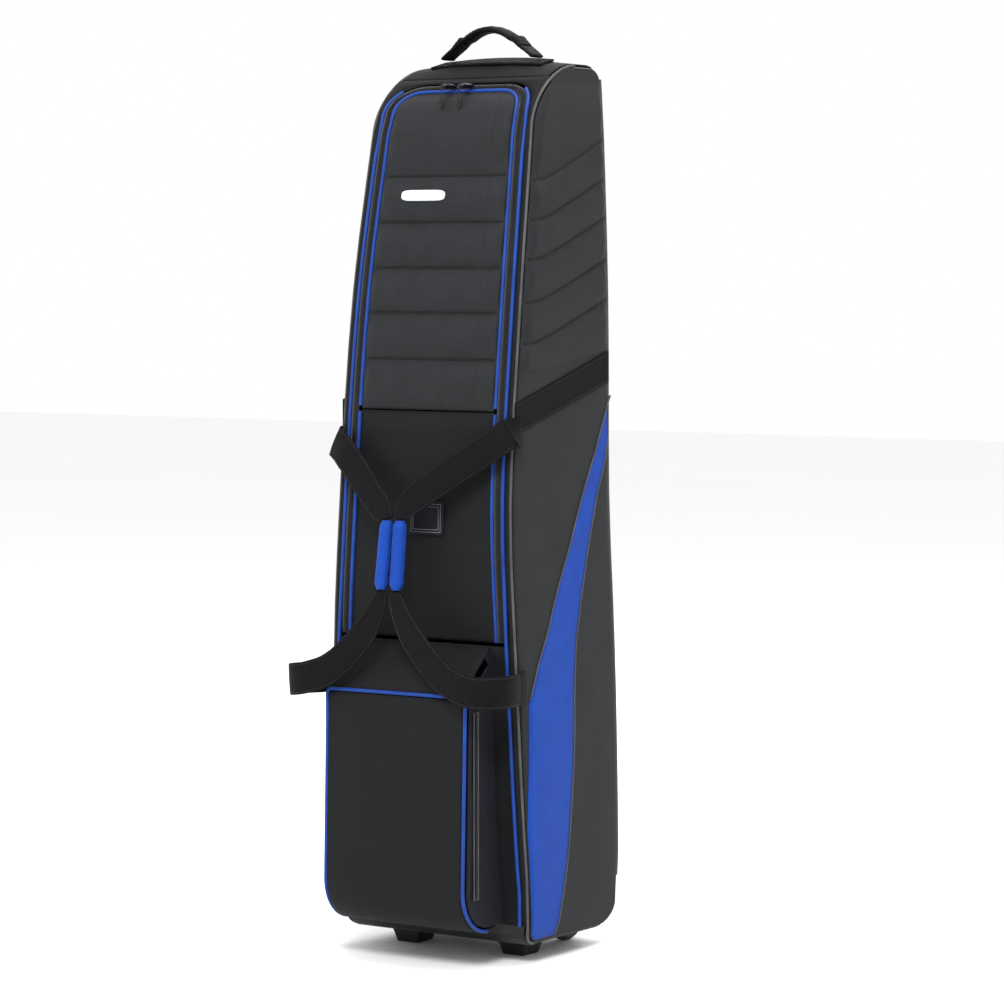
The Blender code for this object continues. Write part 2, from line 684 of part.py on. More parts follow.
def pocket():
    """Front panel, lid, two gussets, blue edge piping, zip and its slider."""
    gusset_x = POCKET_HALF_W
    edge = PIPING_R * 2 + GAP
    line = pocket_line(0.0, 0.006)
    line[0] = (line[0][0], line[0][1] - edge - GAP)
    rows = [[(s * (gusset_x - edge), y, z) for s in (-1, 1)] for y, z in line]
    sheet("pocket_front", rows, SKIN, "black_cloth", outward=(0, -1, 0))
    front = pocket_line(1.7 * edge, 0.006)
    for name, sign in (("left", -1), ("right", 1)):
        rows = []
        count = len(front)
        for i, (y, z) in enumerate(front[:-1]):
            back_z = POCKET_LID_Z - 0.006 + (BAND_FRONT_Z + 0.010 - POCKET_LID_Z) * i / (count - 2)
            far = (front_y(back_z) - 0.0006, back_z)
            rows.append([(sign * gusset_x, y + (far[0] - y) * f, z - 0.002 + (far[1] - z + 0.002) * f)
                         for f in np.linspace(0, 1, 3)])
        sheet(f"pocket_gusset_{name}", rows, SKIN, "black_cloth", outward=(sign, 0, 0))
    top_y = AXIS_Y + POCKET_TOP_Y
    rows = []
    for f in np.linspace(0, 1, 4):
        z = POCKET_TOP_Z + 0.0045 + (POCKET_LID_Z + 0.006 - POCKET_TOP_Z) * f ** 0.85
        y = top_y + 0.004 + (front_y(POCKET_LID_Z) - 0.0035 - top_y - 0.004) * f
        rows.append([(s * (gusset_x - edge), y, z) for s in (-1, 1)])
    sheet("pocket_lid", rows, SKIN * 0.75, "black_cloth", outward=(0, -1, 1))

    lift = PIPING_R * 0.6
    side = [(gusset_x - PIPING_R, y + lift, z + (0.002 if i > 5 else 0))
            for i, (y, z) in enumerate(pocket_line(0.0)[:-1])]
    side[0] = (side[0][0], side[0][1], side[0][2] - 0.0045)
    corner = (gusset_x - 3.2 * PIPING_R, top_y + lift, POCKET_TOP_Z - PIPING_R)
    right = side[::-1] + [corner]
    tube("pocket_piping", right + [(-x, y, z) for x, y, z in right[::-1]], PIPING_R - GAP,
         "piping_blue")

    zip_y = AXIS_Y + POCKET_TOP_Y + 0.022
    for name, sign in (("left", -1), ("right", 1)):
        rows = [[(sign * (gusset_x + 0.0015 + GAP), zip_y + dy, z) for dy in (-0.004, 0.004)]
                for z in np.linspace(0.100, 0.362, 3)]
        sheet(f"pocket_zip_{name}", rows, 0.0015, "zip", outward=(sign, 0, 0))
    x = -(gusset_x + 0.0015 + GAP)
    pivot = empty("pocket_slider_pivot", (x, zip_y, 0.125))
    hang = empty("pocket_pull_pivot", (x - 0.0084, zip_y, 0.125))
    box("pocket_slider", (x - 0.0065, zip_y - 0.005, 0.118), (x - GAP, zip_y + 0.005, 0.132),
        "steel", pivot, bevel=0.0012)
    box("pocket_pull", (x - 0.0098, zip_y - 0.004, 0.090), (x - 0.0070, zip_y + 0.004, 0.126),
        "webbing", hang, bevel=0.0008)


# ---------------------------------------------------------------- straps
def haul_loops():
    """Two webbing loops across the front with their blue grips, and the side webbing."""
    loops = {
        "right": dict(
            sign=1, grip_x=-0.0085,
            upper=[(0.1495, -0.134, 0.747), (0.125, -0.145, 0.728), (0.092, -0.153, 0.706),
                   (0.050, -0.163, 0.678), (0.014, -0.171, 0.653), (-0.004, -0.174, 0.634),
                   (-0.0065, -0.175, GRIP_TOP_Z + 0.0015)],
            lower=[(-0.0115, -0.178, GRIP_TOP_Z - GRIP_LEN - 0.0015), (-0.008, -0.182, 0.508),
                   (0.016, -0.192, 0.474), (0.052, -0.203, 0.440), (0.092, -0.213, 0.411),
                   (0.130, -0.219, 0.397), (0.158, -0.215, 0.394), (0.176, -0.190, 0.394),
                   (0.177, -0.160, 0.394), (0.1705, -0.140, 0.394)]),
        "left": dict(
            sign=-1, grip_x=-0.0335,
            upper=[(-0.1495, -0.134, 0.728), (-0.127, -0.146, 0.716), (-0.099, -0.154, 0.692),
                   (-0.067, -0.164, 0.660), (-0.042, -0.171, 0.638), (-0.0305, -0.175, 0.628),
                   (-0.0290, -0.175, GRIP_TOP_Z + 0.0015)],
            lower=[(-0.0375, -0.178, GRIP_TOP_Z - GRIP_LEN - 0.0015), (-0.0385, -0.182, 0.508),
                   (-0.050, -0.192, 0.474), (-0.072, -0.203, 0.441), (-0.104, -0.212, 0.412),
                   (-0.142, -0.217, 0.398), (-0.172, -0.210, 0.393), (-0.187, -0.185, 0.391),
                   (-0.184, -0.160, 0.390), (-0.1710, -0.140, 0.390)]),
    }
    for side, loop in loops.items():
        sign = loop["sign"]
        shift = lambda points: [(x, y + AXIS_Y, z) for x, y, z in points]
        upper, lower = shift(loop["upper"]), shift(loop["lower"])
        pivot = empty(f"haul_{side}_pivot", ((upper[0][0] + lower[-1][0]) / 2,
                                             (upper[0][1] + lower[-1][1]) / 2,
                                             (upper[0][2] + lower[-1][2]) / 2))
        front = (0, -1, 0)
        ribbon(f"haul_strap_{side}_upper", smooth_path(upper, 3), [front, front],
               [STRAP_W, STRAP_W, STRAP_W * 0.92, 0.014], STRAP_T, "webbing", pivot)
        turned_out = (sign, -0.25, 0)
        ribbon(f"haul_strap_{side}_lower", smooth_path(lower, 3),
               [front, front, front, front, front, (sign * 0.3, -1, 0), turned_out,
                (sign, 0.3, 0)],
               [0.014, STRAP_W * 0.92, STRAP_W, STRAP_W, STRAP_W], STRAP_T, "webbing", pivot)
        grip(side, loop["grip_x"], upper[-1], lower[0], pivot)


def grip(side, grip_x, top, low, pivot):
    """A stuffed sleeve between the two halves of a loop."""
    rings = []
    for f, swell in ((0.0, 0.55), (0.03, 0.85), (0.10, 1.0), (0.5, 1.0), (0.90, 1.0),
                     (0.97, 0.85), (1.0, 0.55)):
        x = top[0] + (low[0] - top[0]) * f
        y = top[1] + (low[1] - top[1]) * f
        z = GRIP_TOP_Z - GRIP_LEN * f
        rings.append([(x + GRIP_R * swell * math.cos(a), y + GRIP_R * 0.85 * swell * math.sin(a), z)
                      for a in np.linspace(0, 2 * math.pi, 14, endpoint=False)])
    loft(f"haul_grip_{side}", rings, "blue_cloth", pivot)


def side_webbing():
    """Flat webbing sewn up each side panel from the loop's end to the back."""
    for side, sign in (("left", -1), ("right", 1)):
        points = []
        for f in np.linspace(0, 1, 8):
            y = -0.112 + (BACK_Y - 0.010 + 0.112) * f
            z = 0.765 + 0.068 * f
            points.append((sign * (half_width(z) + STRAP_T * 0.5 + 2 * GAP), AXIS_Y + y, z))
        ribbon(f"side_webbing_{side}", points, [(sign, 0, 0), (sign, 0, 0)], [STRAP_W, STRAP_W],
               STRAP_T * 0.8, "webbing")


def top_handle():
    """Webbing arch with a padded sleeve on the hood, and its two sewn patches."""
    base_z = hood_top(HANDLE_Y) + HANDLE_SEAT + 0.0012
    y = AXIS_Y + HANDLE_Y
    def arch(f):
        x = HANDLE_HALF_SPAN * f
        return x, y, base_z + HANDLE_RISE * (1 - abs(f) ** 1.45) * (1 - 0.06 * math.exp(-30 * f * f))

    ends = {"left": np.linspace(-1, -WEBBING_END, 5), "right": np.linspace(1, WEBBING_END, 5)}
    for side, span in ends.items():
        path = [arch(f) for f in span]
        ribbon(f"top_handle_webbing_{side}", path, [normal_of(arch, f) for f in span],
               [HANDLE_W, HANDLE_W], HANDLE_T, "webbing")
    pivot = empty("top_handle_pivot", (0, y, arch(WEBBING_END)[2]))
    rings = []
    span = np.linspace(-SLEEVE_END, SLEEVE_END, 13)
    for i, f in enumerate(span):
        p, n = Vector(arch(f)), Vector(normal_of(arch, f))
        end = min(i, len(span) - 1 - i)
        swell = (0.7, 0.95, 1.0)[min(end, 2)]
        across = Vector((0, 1, 0))
        rings.append([p + across * (HANDLE_W * 0.52 * swell * math.cos(a))
                      + n * (SLEEVE_T / 2 * swell * math.sin(a))
                      for a in np.linspace(0, 2 * math.pi, 12, endpoint=False)])
    loft("top_handle_sleeve", rings, "webbing", pivot)
    strip = []
    for f in np.linspace(-1, 1, 9):
        x = (HANDLE_HALF_SPAN + 0.018) * f
        strip.append([(x, y + dy, hood_top(HANDLE_Y + dy, x) + HANDLE_SEAT) for dy in (-0.018, 0.018)])
    sheet("handle_base_strip", strip, 0.0016, "webbing", outward=(0, 0, 1))


def normal_of(arch, f):
    """Upward normal of an arch in the XZ plane."""
    a, b = Vector(arch(f - 0.01)), Vector(arch(f + 0.01))
    along = (b - a).normalized()
    return (-along.z, 0.0, along.x)


def hood_top(y_from_axis, x=0.0):
    """Height of the crowned hood at a place."""
    y = AXIS_Y + y_from_axis
    side = hood_z(y)
    w = half_width(side) - EDGE_X
    return side + hood_crown(y) * (1 - (x / w) ** 2)


def cinch_belt():
    """Inner belt that holds the golf bag to the back board, with its buckle."""
    y, z = AXIS_Y + BACK_Y - SKIN - BOARD - 0.0030, 0.72
    path = [(x, y, z) for x in np.linspace(-0.118, 0.118, 6)]
    ribbon("cinch_belt", path, [(0, -1, 0), (0, -1, 0)], [0.030, 0.030], 0.002, "webbing")
    box("cinch_buckle", (-0.034, y - 0.010, z - 0.020), (0.034, y - 0.001 - GAP, z + 0.020),
        "plastic", bevel=0.002)


# ---------------------------------------------------------------- base
def feet():
    """Two tapered feet under the front of the tray."""
    for side, sign in (("left", -1), ("right", 1)):
        x = sign * FOOT_X
        rings = []
        for z, w, pull in ((0.0, FOOT_LOW_W, 0.006), (BOTTOM_Z - GAP, FOOT_TOP_W, 0.0)):
            y0, y1 = AXIS_Y + FOOT_Y[0] + pull, AXIS_Y + FOOT_Y[1] - pull
            rings.append([(x - w / 2, y0, z), (x + w / 2, y0, z), (x + w / 2, y1, z),
                          (x - w / 2, y1, z)])
        loft(f"front_foot_{side}", rings, "plastic", smooth=False)


def wheels():
    """Two in-line wheels with bearings, axle bolts and nuts in moulded housings."""
    y, z = AXIS_Y + WHEEL_Y, WHEEL_R
    for side, sign in (("left", -1), ("right", 1)):
        x = sign * WHEEL_X
        pivot = empty(f"wheel_{side}_pivot", (x, y, z))
        half = HOUSING_W / 2
        house = box(f"wheel_housing_{side}",
                    (x - half, AXIS_Y + HOUSING_FRONT_Y, 0.018),
                    (x + half, AXIS_Y + HOUSING_BACK_Y, HOUSING_TOP_Z), "plastic")
        slot = half - HOUSING_CHEEK
        cut(house, box(f"slot_cutter_{side}",
                       (x - slot, y - WHEEL_R - 0.002, -0.05),
                       (x + slot, y + WHEEL_R + 0.05, z + WHEEL_R + 0.004), None, group=CUTTERS))
        cut(house, cylinder(f"hole_cutter_{side}", (x, y, z), AXLE_R + 0.0002, 0.2, None,
                            group=CUTTERS))
        half_tyre = TYRE_W / 2
        crown = 0.005
        turned(f"tyre_{side}", (x, y, z),
               [(-half_tyre, HUB_R + GAP), (-half_tyre, WHEEL_R - crown),
                (-half_tyre * 0.6, WHEEL_R - crown * 0.25), (0, WHEEL_R),
                (half_tyre * 0.6, WHEEL_R - crown * 0.25), (half_tyre, WHEEL_R - crown),
                (half_tyre, HUB_R + GAP)], "tyre", pivot, sides=40)
        turned(f"hub_{side}", (x, y, z),
               [(-half_tyre, BEARING_R + GAP), (-half_tyre, HUB_R), (half_tyre, HUB_R),
                (half_tyre, BEARING_R + GAP)], "hub", pivot, sides=28)
        turned(f"bearing_{side}", (x, y, z),
               [(-half_tyre, AXLE_R + RUNNING), (-half_tyre, BEARING_R), (half_tyre, BEARING_R),
                (half_tyre, AXLE_R + RUNNING)], "steel", pivot, sides=24)
        axle_bolt(side, sign, x, y, z)


def axle_bolt(side, sign, x, y, z):
    """A bolt through both cheeks of the housing, its tip peened over."""
    seat, shank = HOUSING_W / 2 + GAP, AXLE_R - 0.0004
    head = seat + BOLT_HEAD
    outline = [(-head, 0.0002), (-head, 0.0058), (-seat, 0.0064), (-seat, shank),
               (seat, shank), (seat, 0.0068), (head, 0.0062), (head, 0.0002)]
    turned(f"axle_bolt_{side}", (x, y, z), [(sign * a, r) for a, r in outline],
           "steel", empty(f"axle_{side}_seat", (x, y, z)), sides=20)


def kick_plate():
    """Moulded plate on the lower back with two skid rails."""
    y0 = AXIS_Y + BACK_Y + GAP
    plate = box("kick_plate", (-0.122, y0, 0.110), (0.122, y0 + 0.003, 0.300), "plastic",
                bevel=0.0008)
    for side, sign in (("left", -1), ("right", 1)):
        x = sign * 0.088
        rail = box(f"rail_{side}", (x - 0.011, y0 + 0.0015, 0.120),
                   (x + 0.011, y0 + 0.009, 0.290), None, bevel=0.0030, group=CUTTERS)
        cut(plate, rail).operation = "UNION"


side_panels()
back_and_hood()
base_tray()
front_surround()
corner_piping()
outer_piping()
door()
sliders()
pocket()
haul_loops()
side_webbing()
top_handle()
cinch_belt()
feet()
wheels()
kick_plate()
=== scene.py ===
"""Looks of the golf travel case: quilted cloth, piping, webbing, zips, lights and camera."""

import enum
import json
import logging
import math
from dataclasses import dataclass
from typing import Callable, Iterable, Optional, Sequence, Union

import bmesh
import bpy
from mathutils import Matrix, Vector, noise
from mathutils.bvhtree import BVHTree


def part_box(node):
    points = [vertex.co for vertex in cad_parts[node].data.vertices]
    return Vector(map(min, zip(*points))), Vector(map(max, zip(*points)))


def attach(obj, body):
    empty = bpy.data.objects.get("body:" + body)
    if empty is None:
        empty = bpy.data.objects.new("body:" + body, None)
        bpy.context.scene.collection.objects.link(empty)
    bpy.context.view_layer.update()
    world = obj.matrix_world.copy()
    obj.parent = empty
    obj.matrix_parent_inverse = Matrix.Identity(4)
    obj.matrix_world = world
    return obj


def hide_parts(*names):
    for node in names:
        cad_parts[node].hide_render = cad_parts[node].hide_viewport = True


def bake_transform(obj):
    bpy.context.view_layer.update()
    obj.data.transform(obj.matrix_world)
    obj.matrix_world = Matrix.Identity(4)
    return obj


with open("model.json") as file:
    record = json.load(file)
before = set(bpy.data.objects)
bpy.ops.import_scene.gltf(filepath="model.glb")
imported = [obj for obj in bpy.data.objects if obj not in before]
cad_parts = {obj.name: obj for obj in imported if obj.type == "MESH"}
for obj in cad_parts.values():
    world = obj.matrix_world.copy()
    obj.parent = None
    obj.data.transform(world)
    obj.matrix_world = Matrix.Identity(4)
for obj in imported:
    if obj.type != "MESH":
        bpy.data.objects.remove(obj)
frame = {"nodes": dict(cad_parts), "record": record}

LOG = logging.getLogger("travel_case")
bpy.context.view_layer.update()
Point = Sequence[float]
SIDES = (("left", -1), ("right", 1))
UP, DOWN, AHEAD = (0, 0, 1), (0, 0, -1), (0, -1, 0)
BELT_HALF = 0.0222         # half the width of the sewn webbing


# ---------------------------------------------------------------- shader expressions
class Value:
    """A shader socket that takes part in Python arithmetic.

    Args:
        graph: The node graph that the socket belongs to.
        socket: An output socket.
    """

    def __init__(self, graph: "Graph", socket: bpy.types.NodeSocket) -> None:
        self.graph = graph
        self.socket = socket

    def _math(self, operation: str, *terms: "Term") -> "Value":
        """A Math node on numbers or values."""
        inputs = dict(enumerate(terms))
        return self.graph.node("ShaderNodeMath", {"operation": operation}, inputs)

    def __add__(self, other: "Term") -> "Value":
        """Sum."""
        return self._math("ADD", self, other)

    def __sub__(self, other: "Term") -> "Value":
        """Difference."""
        return self._math("SUBTRACT", self, other)

    def __rsub__(self, other: "Term") -> "Value":
        """Difference with the number first."""
        return self._math("SUBTRACT", other, self)

    def __mul__(self, other: "Term") -> "Value":
        """Product."""
        return self._math("MULTIPLY", self, other)

    __radd__ = __add__
    __rmul__ = __mul__

    def sine(self) -> "Value":
        """Sine of the value."""
        return self._math("SINE", self)

    def clamp(self, low: float, high: float) -> "Value":
        """The value mapped from low..high to 0..1 and clamped."""
        return self.graph.node("ShaderNodeMapRange", {"clamp": True},
                               {"Value": self, "From Min": low, "From Max": high})


Term = Union[Value, float]


class Graph:
    """A material's node graph with one method that makes any node.

    Args:
        name: The material's name.
    """

    def __init__(self, name: str) -> None:
        self.material = bpy.data.materials.new(name)
        self.material.use_nodes = True
        self.tree = self.material.node_tree
        self.shader = self.tree.nodes["Principled BSDF"]

    def node(self, kind: str, settings: Optional[dict] = None, inputs: Optional[dict] = None,
             output: Union[int, str] = 0) -> Value:
        """Make a node.

        Args:
            kind: The node's type.
            settings: Attributes set first.
            inputs: Values or links of its sockets, by name or number.
            output: Which output to return.

        Returns:
            The chosen output.
        """
        made = self.tree.nodes.new(kind)
        for key, value in (settings or {}).items():
            setattr(made, key, value)
        for key, value in (inputs or {}).items():
            self.feed(made.inputs[key], value)
        return Value(self, made.outputs[output])

    def feed(self, socket: bpy.types.NodeSocket, value: object) -> None:
        """Link a value to a socket, or set it; a plain colour gets its alpha here."""
        if isinstance(value, Value):
            self.tree.links.new(value.socket, socket)
        else:
            socket.default_value = (*value, 1.0) if socket.type == "RGBA" else value

    def place(self) -> Value:
        """Object coordinates, which are metres in the case's frame."""
        return self.node("ShaderNodeTexCoord", output="Object")

    def axes(self) -> tuple[Value, Value, Value]:
        """X, Y and Z in metres."""
        split = self.node("ShaderNodeSeparateXYZ", None, {0: self.place()}).socket.node
        return tuple(Value(self, out) for out in split.outputs)

    def speckle(self, scale: float, detail: float = 2.0, stretch: Point = (1, 1, 1)) -> Value:
        """Noise over the surface.

        Args:
            scale: Features per metre, roughly.
            detail: Octaves.
            stretch: Scale on each axis.

        Returns:
            A value around 0.5.
        """
        place = self.node("ShaderNodeVectorMath", {"operation": "MULTIPLY"},
                          {0: self.place(), 1: tuple(stretch)})
        return self.node("ShaderNodeTexNoise", None,
                         {"Vector": place, "Scale": scale, "Detail": detail})

    def blend(self, share: Term, low: object, high: object) -> Value:
        """A colour mixed between two by a share."""
        return self.node("ShaderNodeMix", {"data_type": "RGBA"}, {0: share, 6: low, 7: high}, 2)

    def dress(self, colour: object, roughness: Term, height: Optional[Value] = None,
              depth: float = 0.0002, strength: float = 0.5, **fixed: float) -> bpy.types.Material:
        """Connect the Principled shader.

        Args:
            colour: A colour or a value.
            roughness: A number or a value.
            height: A bump height in 0..1.
            depth: The bump's distance in metres.
            strength: The bump's strength.
            **fixed: Constants for the shader's own sockets, with _ for a space.

        Returns:
            The finished material.
        """
        shader = self.shader
        self.feed(shader.inputs["Base Color"], colour)
        self.feed(shader.inputs["Roughness"], roughness)
        if height is not None:
            bump = self.node("ShaderNodeBump", None,
                             {"Height": height, "Distance": depth, "Strength": strength})
            self.feed(shader.inputs["Normal"], bump)
        for name, value in fixed.items():
            shader.inputs[name.replace("_", " ")].default_value = value
        return self.material


# ---------------------------------------------------------------- finishes
@dataclass(frozen=True)
class Cloth:
    """Woven polyester.

    Args:
        name: Material name.
        dark: Colour in the weave's gaps.
        light: Colour of the threads.
        pitch: Thread spacing in metres.
        rough: Mean roughness.
        sheen: Sheen weight.
    """

    name: str
    dark: Point
    light: Point
    pitch: float = 0.0011
    rough: float = 0.72
    sheen: float = 0.12

    def build(self) -> bpy.types.Material:
        """Make the material."""
        graph = Graph(self.name)
        x, y, z = graph.axes()
        turns = 2 * math.pi / self.pitch
        weave = ((x + y) * turns).sine() * (z * turns).sine() * 0.5 + 0.5
        mottle = graph.speckle(38.0, 3.0)
        fibre = graph.speckle(2600.0, 1.0)
        share = weave * 0.35 + mottle * 0.40 + fibre * 0.25
        colour = graph.blend(share.clamp(0.22, 0.78), self.dark, self.light)
        rough = mottle * 0.12 + (self.rough - 0.06)
        return graph.dress(colour, rough, weave * 0.7 + fibre * 0.3, 0.00016, 0.45,
                           Sheen_Weight=self.sheen, Sheen_Roughness=0.5,
                           Specular_IOR_Level=0.16)


@dataclass(frozen=True)
class Webbing:
    """Ribbed belt webbing.

    Args:
        name: Material name.
        dark: Colour in the grooves.
        light: Colour on the ribs.
        pitch: Distance from rib to rib in metres.
    """

    name: str = "belt_webbing"
    dark: Point = (0.0012, 0.0012, 0.0015)
    light: Point = (0.0060, 0.0061, 0.0070)
    pitch: float = 0.0030

    def build(self) -> bpy.types.Material:
        """Make the material."""
        graph = Graph(self.name)
        x, y, z = graph.axes()
        turns = 2 * math.pi / self.pitch
        left = ((x + y * 0.6 + z) * turns).sine()
        right = ((x + y * 0.6 - z) * turns).sine()
        rib = (left * right) * 0.5 + 0.5
        worn = graph.speckle(60.0, 3.0)
        colour = graph.blend((rib * 0.6 + worn * 0.4).clamp(0.2, 0.85), self.dark, self.light)
        return graph.dress(colour, worn * 0.2 + 0.55, rib, 0.0004, 0.6,
                           Sheen_Weight=0.01, Specular_IOR_Level=0.07)


@dataclass(frozen=True)
class Cord:
    """Piping with a fine twist.

    Args:
        name: Material name.
        dark: Shaded colour.
        light: Lit colour.
    """

    name: str
    dark: Point
    light: Point

    def build(self) -> bpy.types.Material:
        """Make the material."""
        graph = Graph(self.name)
        x, y, z = graph.axes()
        twist = ((x * 0.8 + y * 0.5 + z) * (2 * math.pi / 0.0018)).sine() * 0.5 + 0.5
        fade = graph.speckle(25.0, 2.0)
        colour = graph.blend((twist * 0.35 + fade * 0.65).clamp(0.2, 0.8), self.dark, self.light)
        return graph.dress(colour, fade * 0.15 + 0.45, twist, 0.00012, 0.5,
                           Sheen_Weight=0.02, Specular_IOR_Level=0.22)


@dataclass(frozen=True)
class Moulded:
    """Moulded plastic or rubber with a fine grain and scuffs.

    Args:
        name: Material name.
        colour: Base colour.
        worn: Colour of scuffs.
        rough: Mean roughness.
        grain: Bump features per metre.
    """

    name: str
    colour: Point
    worn: Point
    rough: float = 0.42
    grain: float = 1400.0

    def build(self) -> bpy.types.Material:
        """Make the material."""
        graph = Graph(self.name)
        fine = graph.speckle(self.grain, 2.0)
        scuff = graph.speckle(45.0, 5.0, (1.0, 1.0, 0.35)).clamp(0.56, 0.74)
        colour = graph.blend(scuff * 0.5, self.colour, self.worn)
        return graph.dress(colour, scuff * 0.2 + fine * 0.1 + self.rough - 0.05, fine, 0.00015, 0.4,
                           Specular_IOR_Level=0.3)


@dataclass(frozen=True)
class Metal:
    """Plated metal with a brushed grain.

    Args:
        name: Material name.
        colour: Base colour.
        rough: Mean roughness.
    """

    name: str
    colour: Point
    rough: float = 0.28

    def build(self) -> bpy.types.Material:
        """Make the material."""
        graph = Graph(self.name)
        brushed = graph.speckle(900.0, 2.0, (0.08, 1.0, 1.0))
        stain = graph.speckle(120.0, 3.0)
        colour = graph.blend(stain, [c * 0.75 for c in self.colour], self.colour)
        return graph.dress(colour, brushed * 0.15 + stain * 0.1 + self.rough - 0.1,
                           brushed, 0.00005, 0.3, Metallic=1.0)


class Finish(enum.Enum):
    """The finishes of the case."""

    BODY = Cloth("body_cloth", (0.0018, 0.0020, 0.0023), (0.0060, 0.0064, 0.0074), sheen=0.01)
    QUILT = Cloth("quilt_cloth", (0.0060, 0.0064, 0.0072), (0.0185, 0.0195, 0.0220), sheen=0.03)
    GUSSET = Cloth("gusset_cloth", (0.0026, 0.0029, 0.0050), (0.0085, 0.0095, 0.0165), sheen=0.02)
    BLUE = Cloth("blue_cloth", (0.001, 0.024, 0.190), (0.003, 0.052, 0.34), rough=0.66, sheen=0.03)
    LINING = Cloth("lining_cloth", (0.030, 0.030, 0.032), (0.075, 0.075, 0.080), pitch=0.0008)
    PIPING = Cord("blue_piping", (0.001, 0.018, 0.135), (0.005, 0.050, 0.29))
    EDGE = Cord("grey_piping", (0.022, 0.022, 0.023), (0.085, 0.085, 0.088))
    THREAD = Cord("stitch_thread", (0.006, 0.006, 0.007), (0.022, 0.022, 0.024))
    # Painted shade: a near-black cord laid along each quilting seam stands in for the shadow that
    # falls in the seam.
    SEAM_SHADE = Cord("seam_channel", (0.0010, 0.0010, 0.0012), (0.0030, 0.0030, 0.0035))
    PALE_THREAD = Cord("pale_thread", (0.08, 0.08, 0.085), (0.24, 0.24, 0.25))
    BELT = Webbing()
    ZIP = Cloth("zip_cloth", (0.004, 0.004, 0.005), (0.015, 0.015, 0.017), pitch=0.0014)
    TEETH = Moulded("zip_coil", (0.012, 0.012, 0.013), (0.05, 0.05, 0.052), 0.35)
    SHELL = Moulded("moulded_shell", (0.0055, 0.0055, 0.006), (0.030, 0.030, 0.031), 0.48)
    TYRE = Moulded("wheel_tread", (0.020, 0.020, 0.021), (0.09, 0.088, 0.085), 0.6, 700.0)
    HUB = Moulded("wheel_hub", (0.10, 0.10, 0.105), (0.20, 0.20, 0.20), 0.4)
    STEEL = Metal("plated_steel", (0.56, 0.56, 0.57))
    GUNMETAL = Metal("dark_metal", (0.045, 0.045, 0.05), 0.35)
    BOARD = Moulded("stiff_board", (0.12, 0.115, 0.10), (0.18, 0.17, 0.15), 0.7, 500.0)
    BADGE = Moulded("badge_enamel", (0.58, 0.61, 0.66), (0.46, 0.49, 0.54), 0.3, 2200.0)
    PULL = Moulded("pull_rubber", (0.0030, 0.0030, 0.0035), (0.012, 0.012, 0.013), 0.5)


class Wardrobe:
    """Builds each finish once and hands it out."""

    def __init__(self) -> None:
        self.made: dict[Finish, bpy.types.Material] = {}

    def get(self, finish: Finish) -> bpy.types.Material:
        """The material of a finish."""
        if finish not in self.made:
            self.made[finish] = finish.value.build()
        return self.made[finish]


WARDROBE = Wardrobe()


# ---------------------------------------------------------------- mesh helpers
def link(name: str, data: bpy.types.ID, finish: Finish, body: Optional[str] = "case",
         stands_for: Iterable[str] = ()) -> bpy.types.Object:
    """Put a piece in the scene, dress it and let it ride on a body.

    Args:
        name: The piece's name.
        data: Its mesh or curve.
        finish: Its finish.
        body: The CAD body that it moves with, or nothing for a piece that rides on no body.
        stands_for: CAD nodes that it replaces.

    Returns:
        The object.
    """
    item = bpy.data.objects.new(name, data)
    bpy.context.scene.collection.objects.link(item)
    data.materials.append(WARDROBE.get(finish))
    if body:
        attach(item, body)
    nodes = list(stands_for)
    if nodes:
        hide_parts(*nodes)
    LOG.info("%s rides on %s", name, body)
    return item


def grid_mesh(name: str, rows: Sequence[Sequence[Point]], outward: Point,
              skip: Optional[Callable[[int, int], bool]] = None,
              closed: bool = False) -> bpy.types.Mesh:
    """A mesh through rows of points, its faces turned outward.

    Args:
        name: Mesh name.
        rows: Equal rows of points.
        outward: Direction that the middle face looks to.
        skip: Says which quads stay open.
        closed: Whether each row joins its own start.

    Returns:
        The mesh, shaded smooth.
    """
    work = bmesh.new()
    grid = [[work.verts.new(p) for p in row] for row in rows]
    width = len(rows[0])
    for i in range(len(rows) - 1):
        for j in range(width if closed else width - 1):
            if skip and skip(i, j):
                continue
            k = (j + 1) % width
            work.faces.new((grid[i][j], grid[i][k], grid[i + 1][k], grid[i + 1][j]))
    if closed:
        work.faces.new(grid[0][::-1])
        work.faces.new(grid[-1])
        bmesh.ops.recalc_face_normals(work, faces=work.faces)
    else:
        work.normal_update()
        work.faces.ensure_lookup_table()
        middle = work.faces[len(work.faces) // 2]
        if middle.normal.dot(Vector(outward)) < 0:
            bmesh.ops.reverse_faces(work, faces=work.faces[:])
    loose = [v for v in work.verts if not v.link_faces]
    bmesh.ops.delete(work, geom=loose, context="VERTS")
    data = made_mesh(work, name)
    data.shade_smooth()
    return data


def made_mesh(work: bmesh.types.BMesh, name: str) -> bpy.types.Mesh:
    """The mesh of what has been worked out, which is then let go."""
    data = bpy.data.meshes.new(name)
    work.to_mesh(data)
    work.free()
    return data


def shell(item: bpy.types.Object, thickness: float, offset: float = -1.0) -> bpy.types.Object:
    """Give an open sheet its thickness: inwards, or half each way with no offset."""
    step = item.modifiers.new("thickness", "SOLIDIFY")
    step.thickness = thickness
    step.offset = offset
    return item


def spaced(low: float, high: float, count: int) -> list[float]:
    """Values from low to high in equal steps, with both ends."""
    return [low + (high - low) * k / count for k in range(count + 1)]


def around(count: int) -> list[float]:
    """Angles once round, in equal steps."""
    return [2 * math.pi * k / count for k in range(count)]


def sheet(name: str, rows: Sequence[Sequence[Point]], outward: Point, finish: Finish,
          thickness: float, stands_for: Iterable[str], body: str = "case",
          skip: Optional[Callable[[int, int], bool]] = None) -> bpy.types.Object:
    """An open sheet through rows of points, with its thickness inwards."""
    item = link(name, grid_mesh(name, rows, outward, skip), finish, body, stands_for)
    return shell(item, thickness)


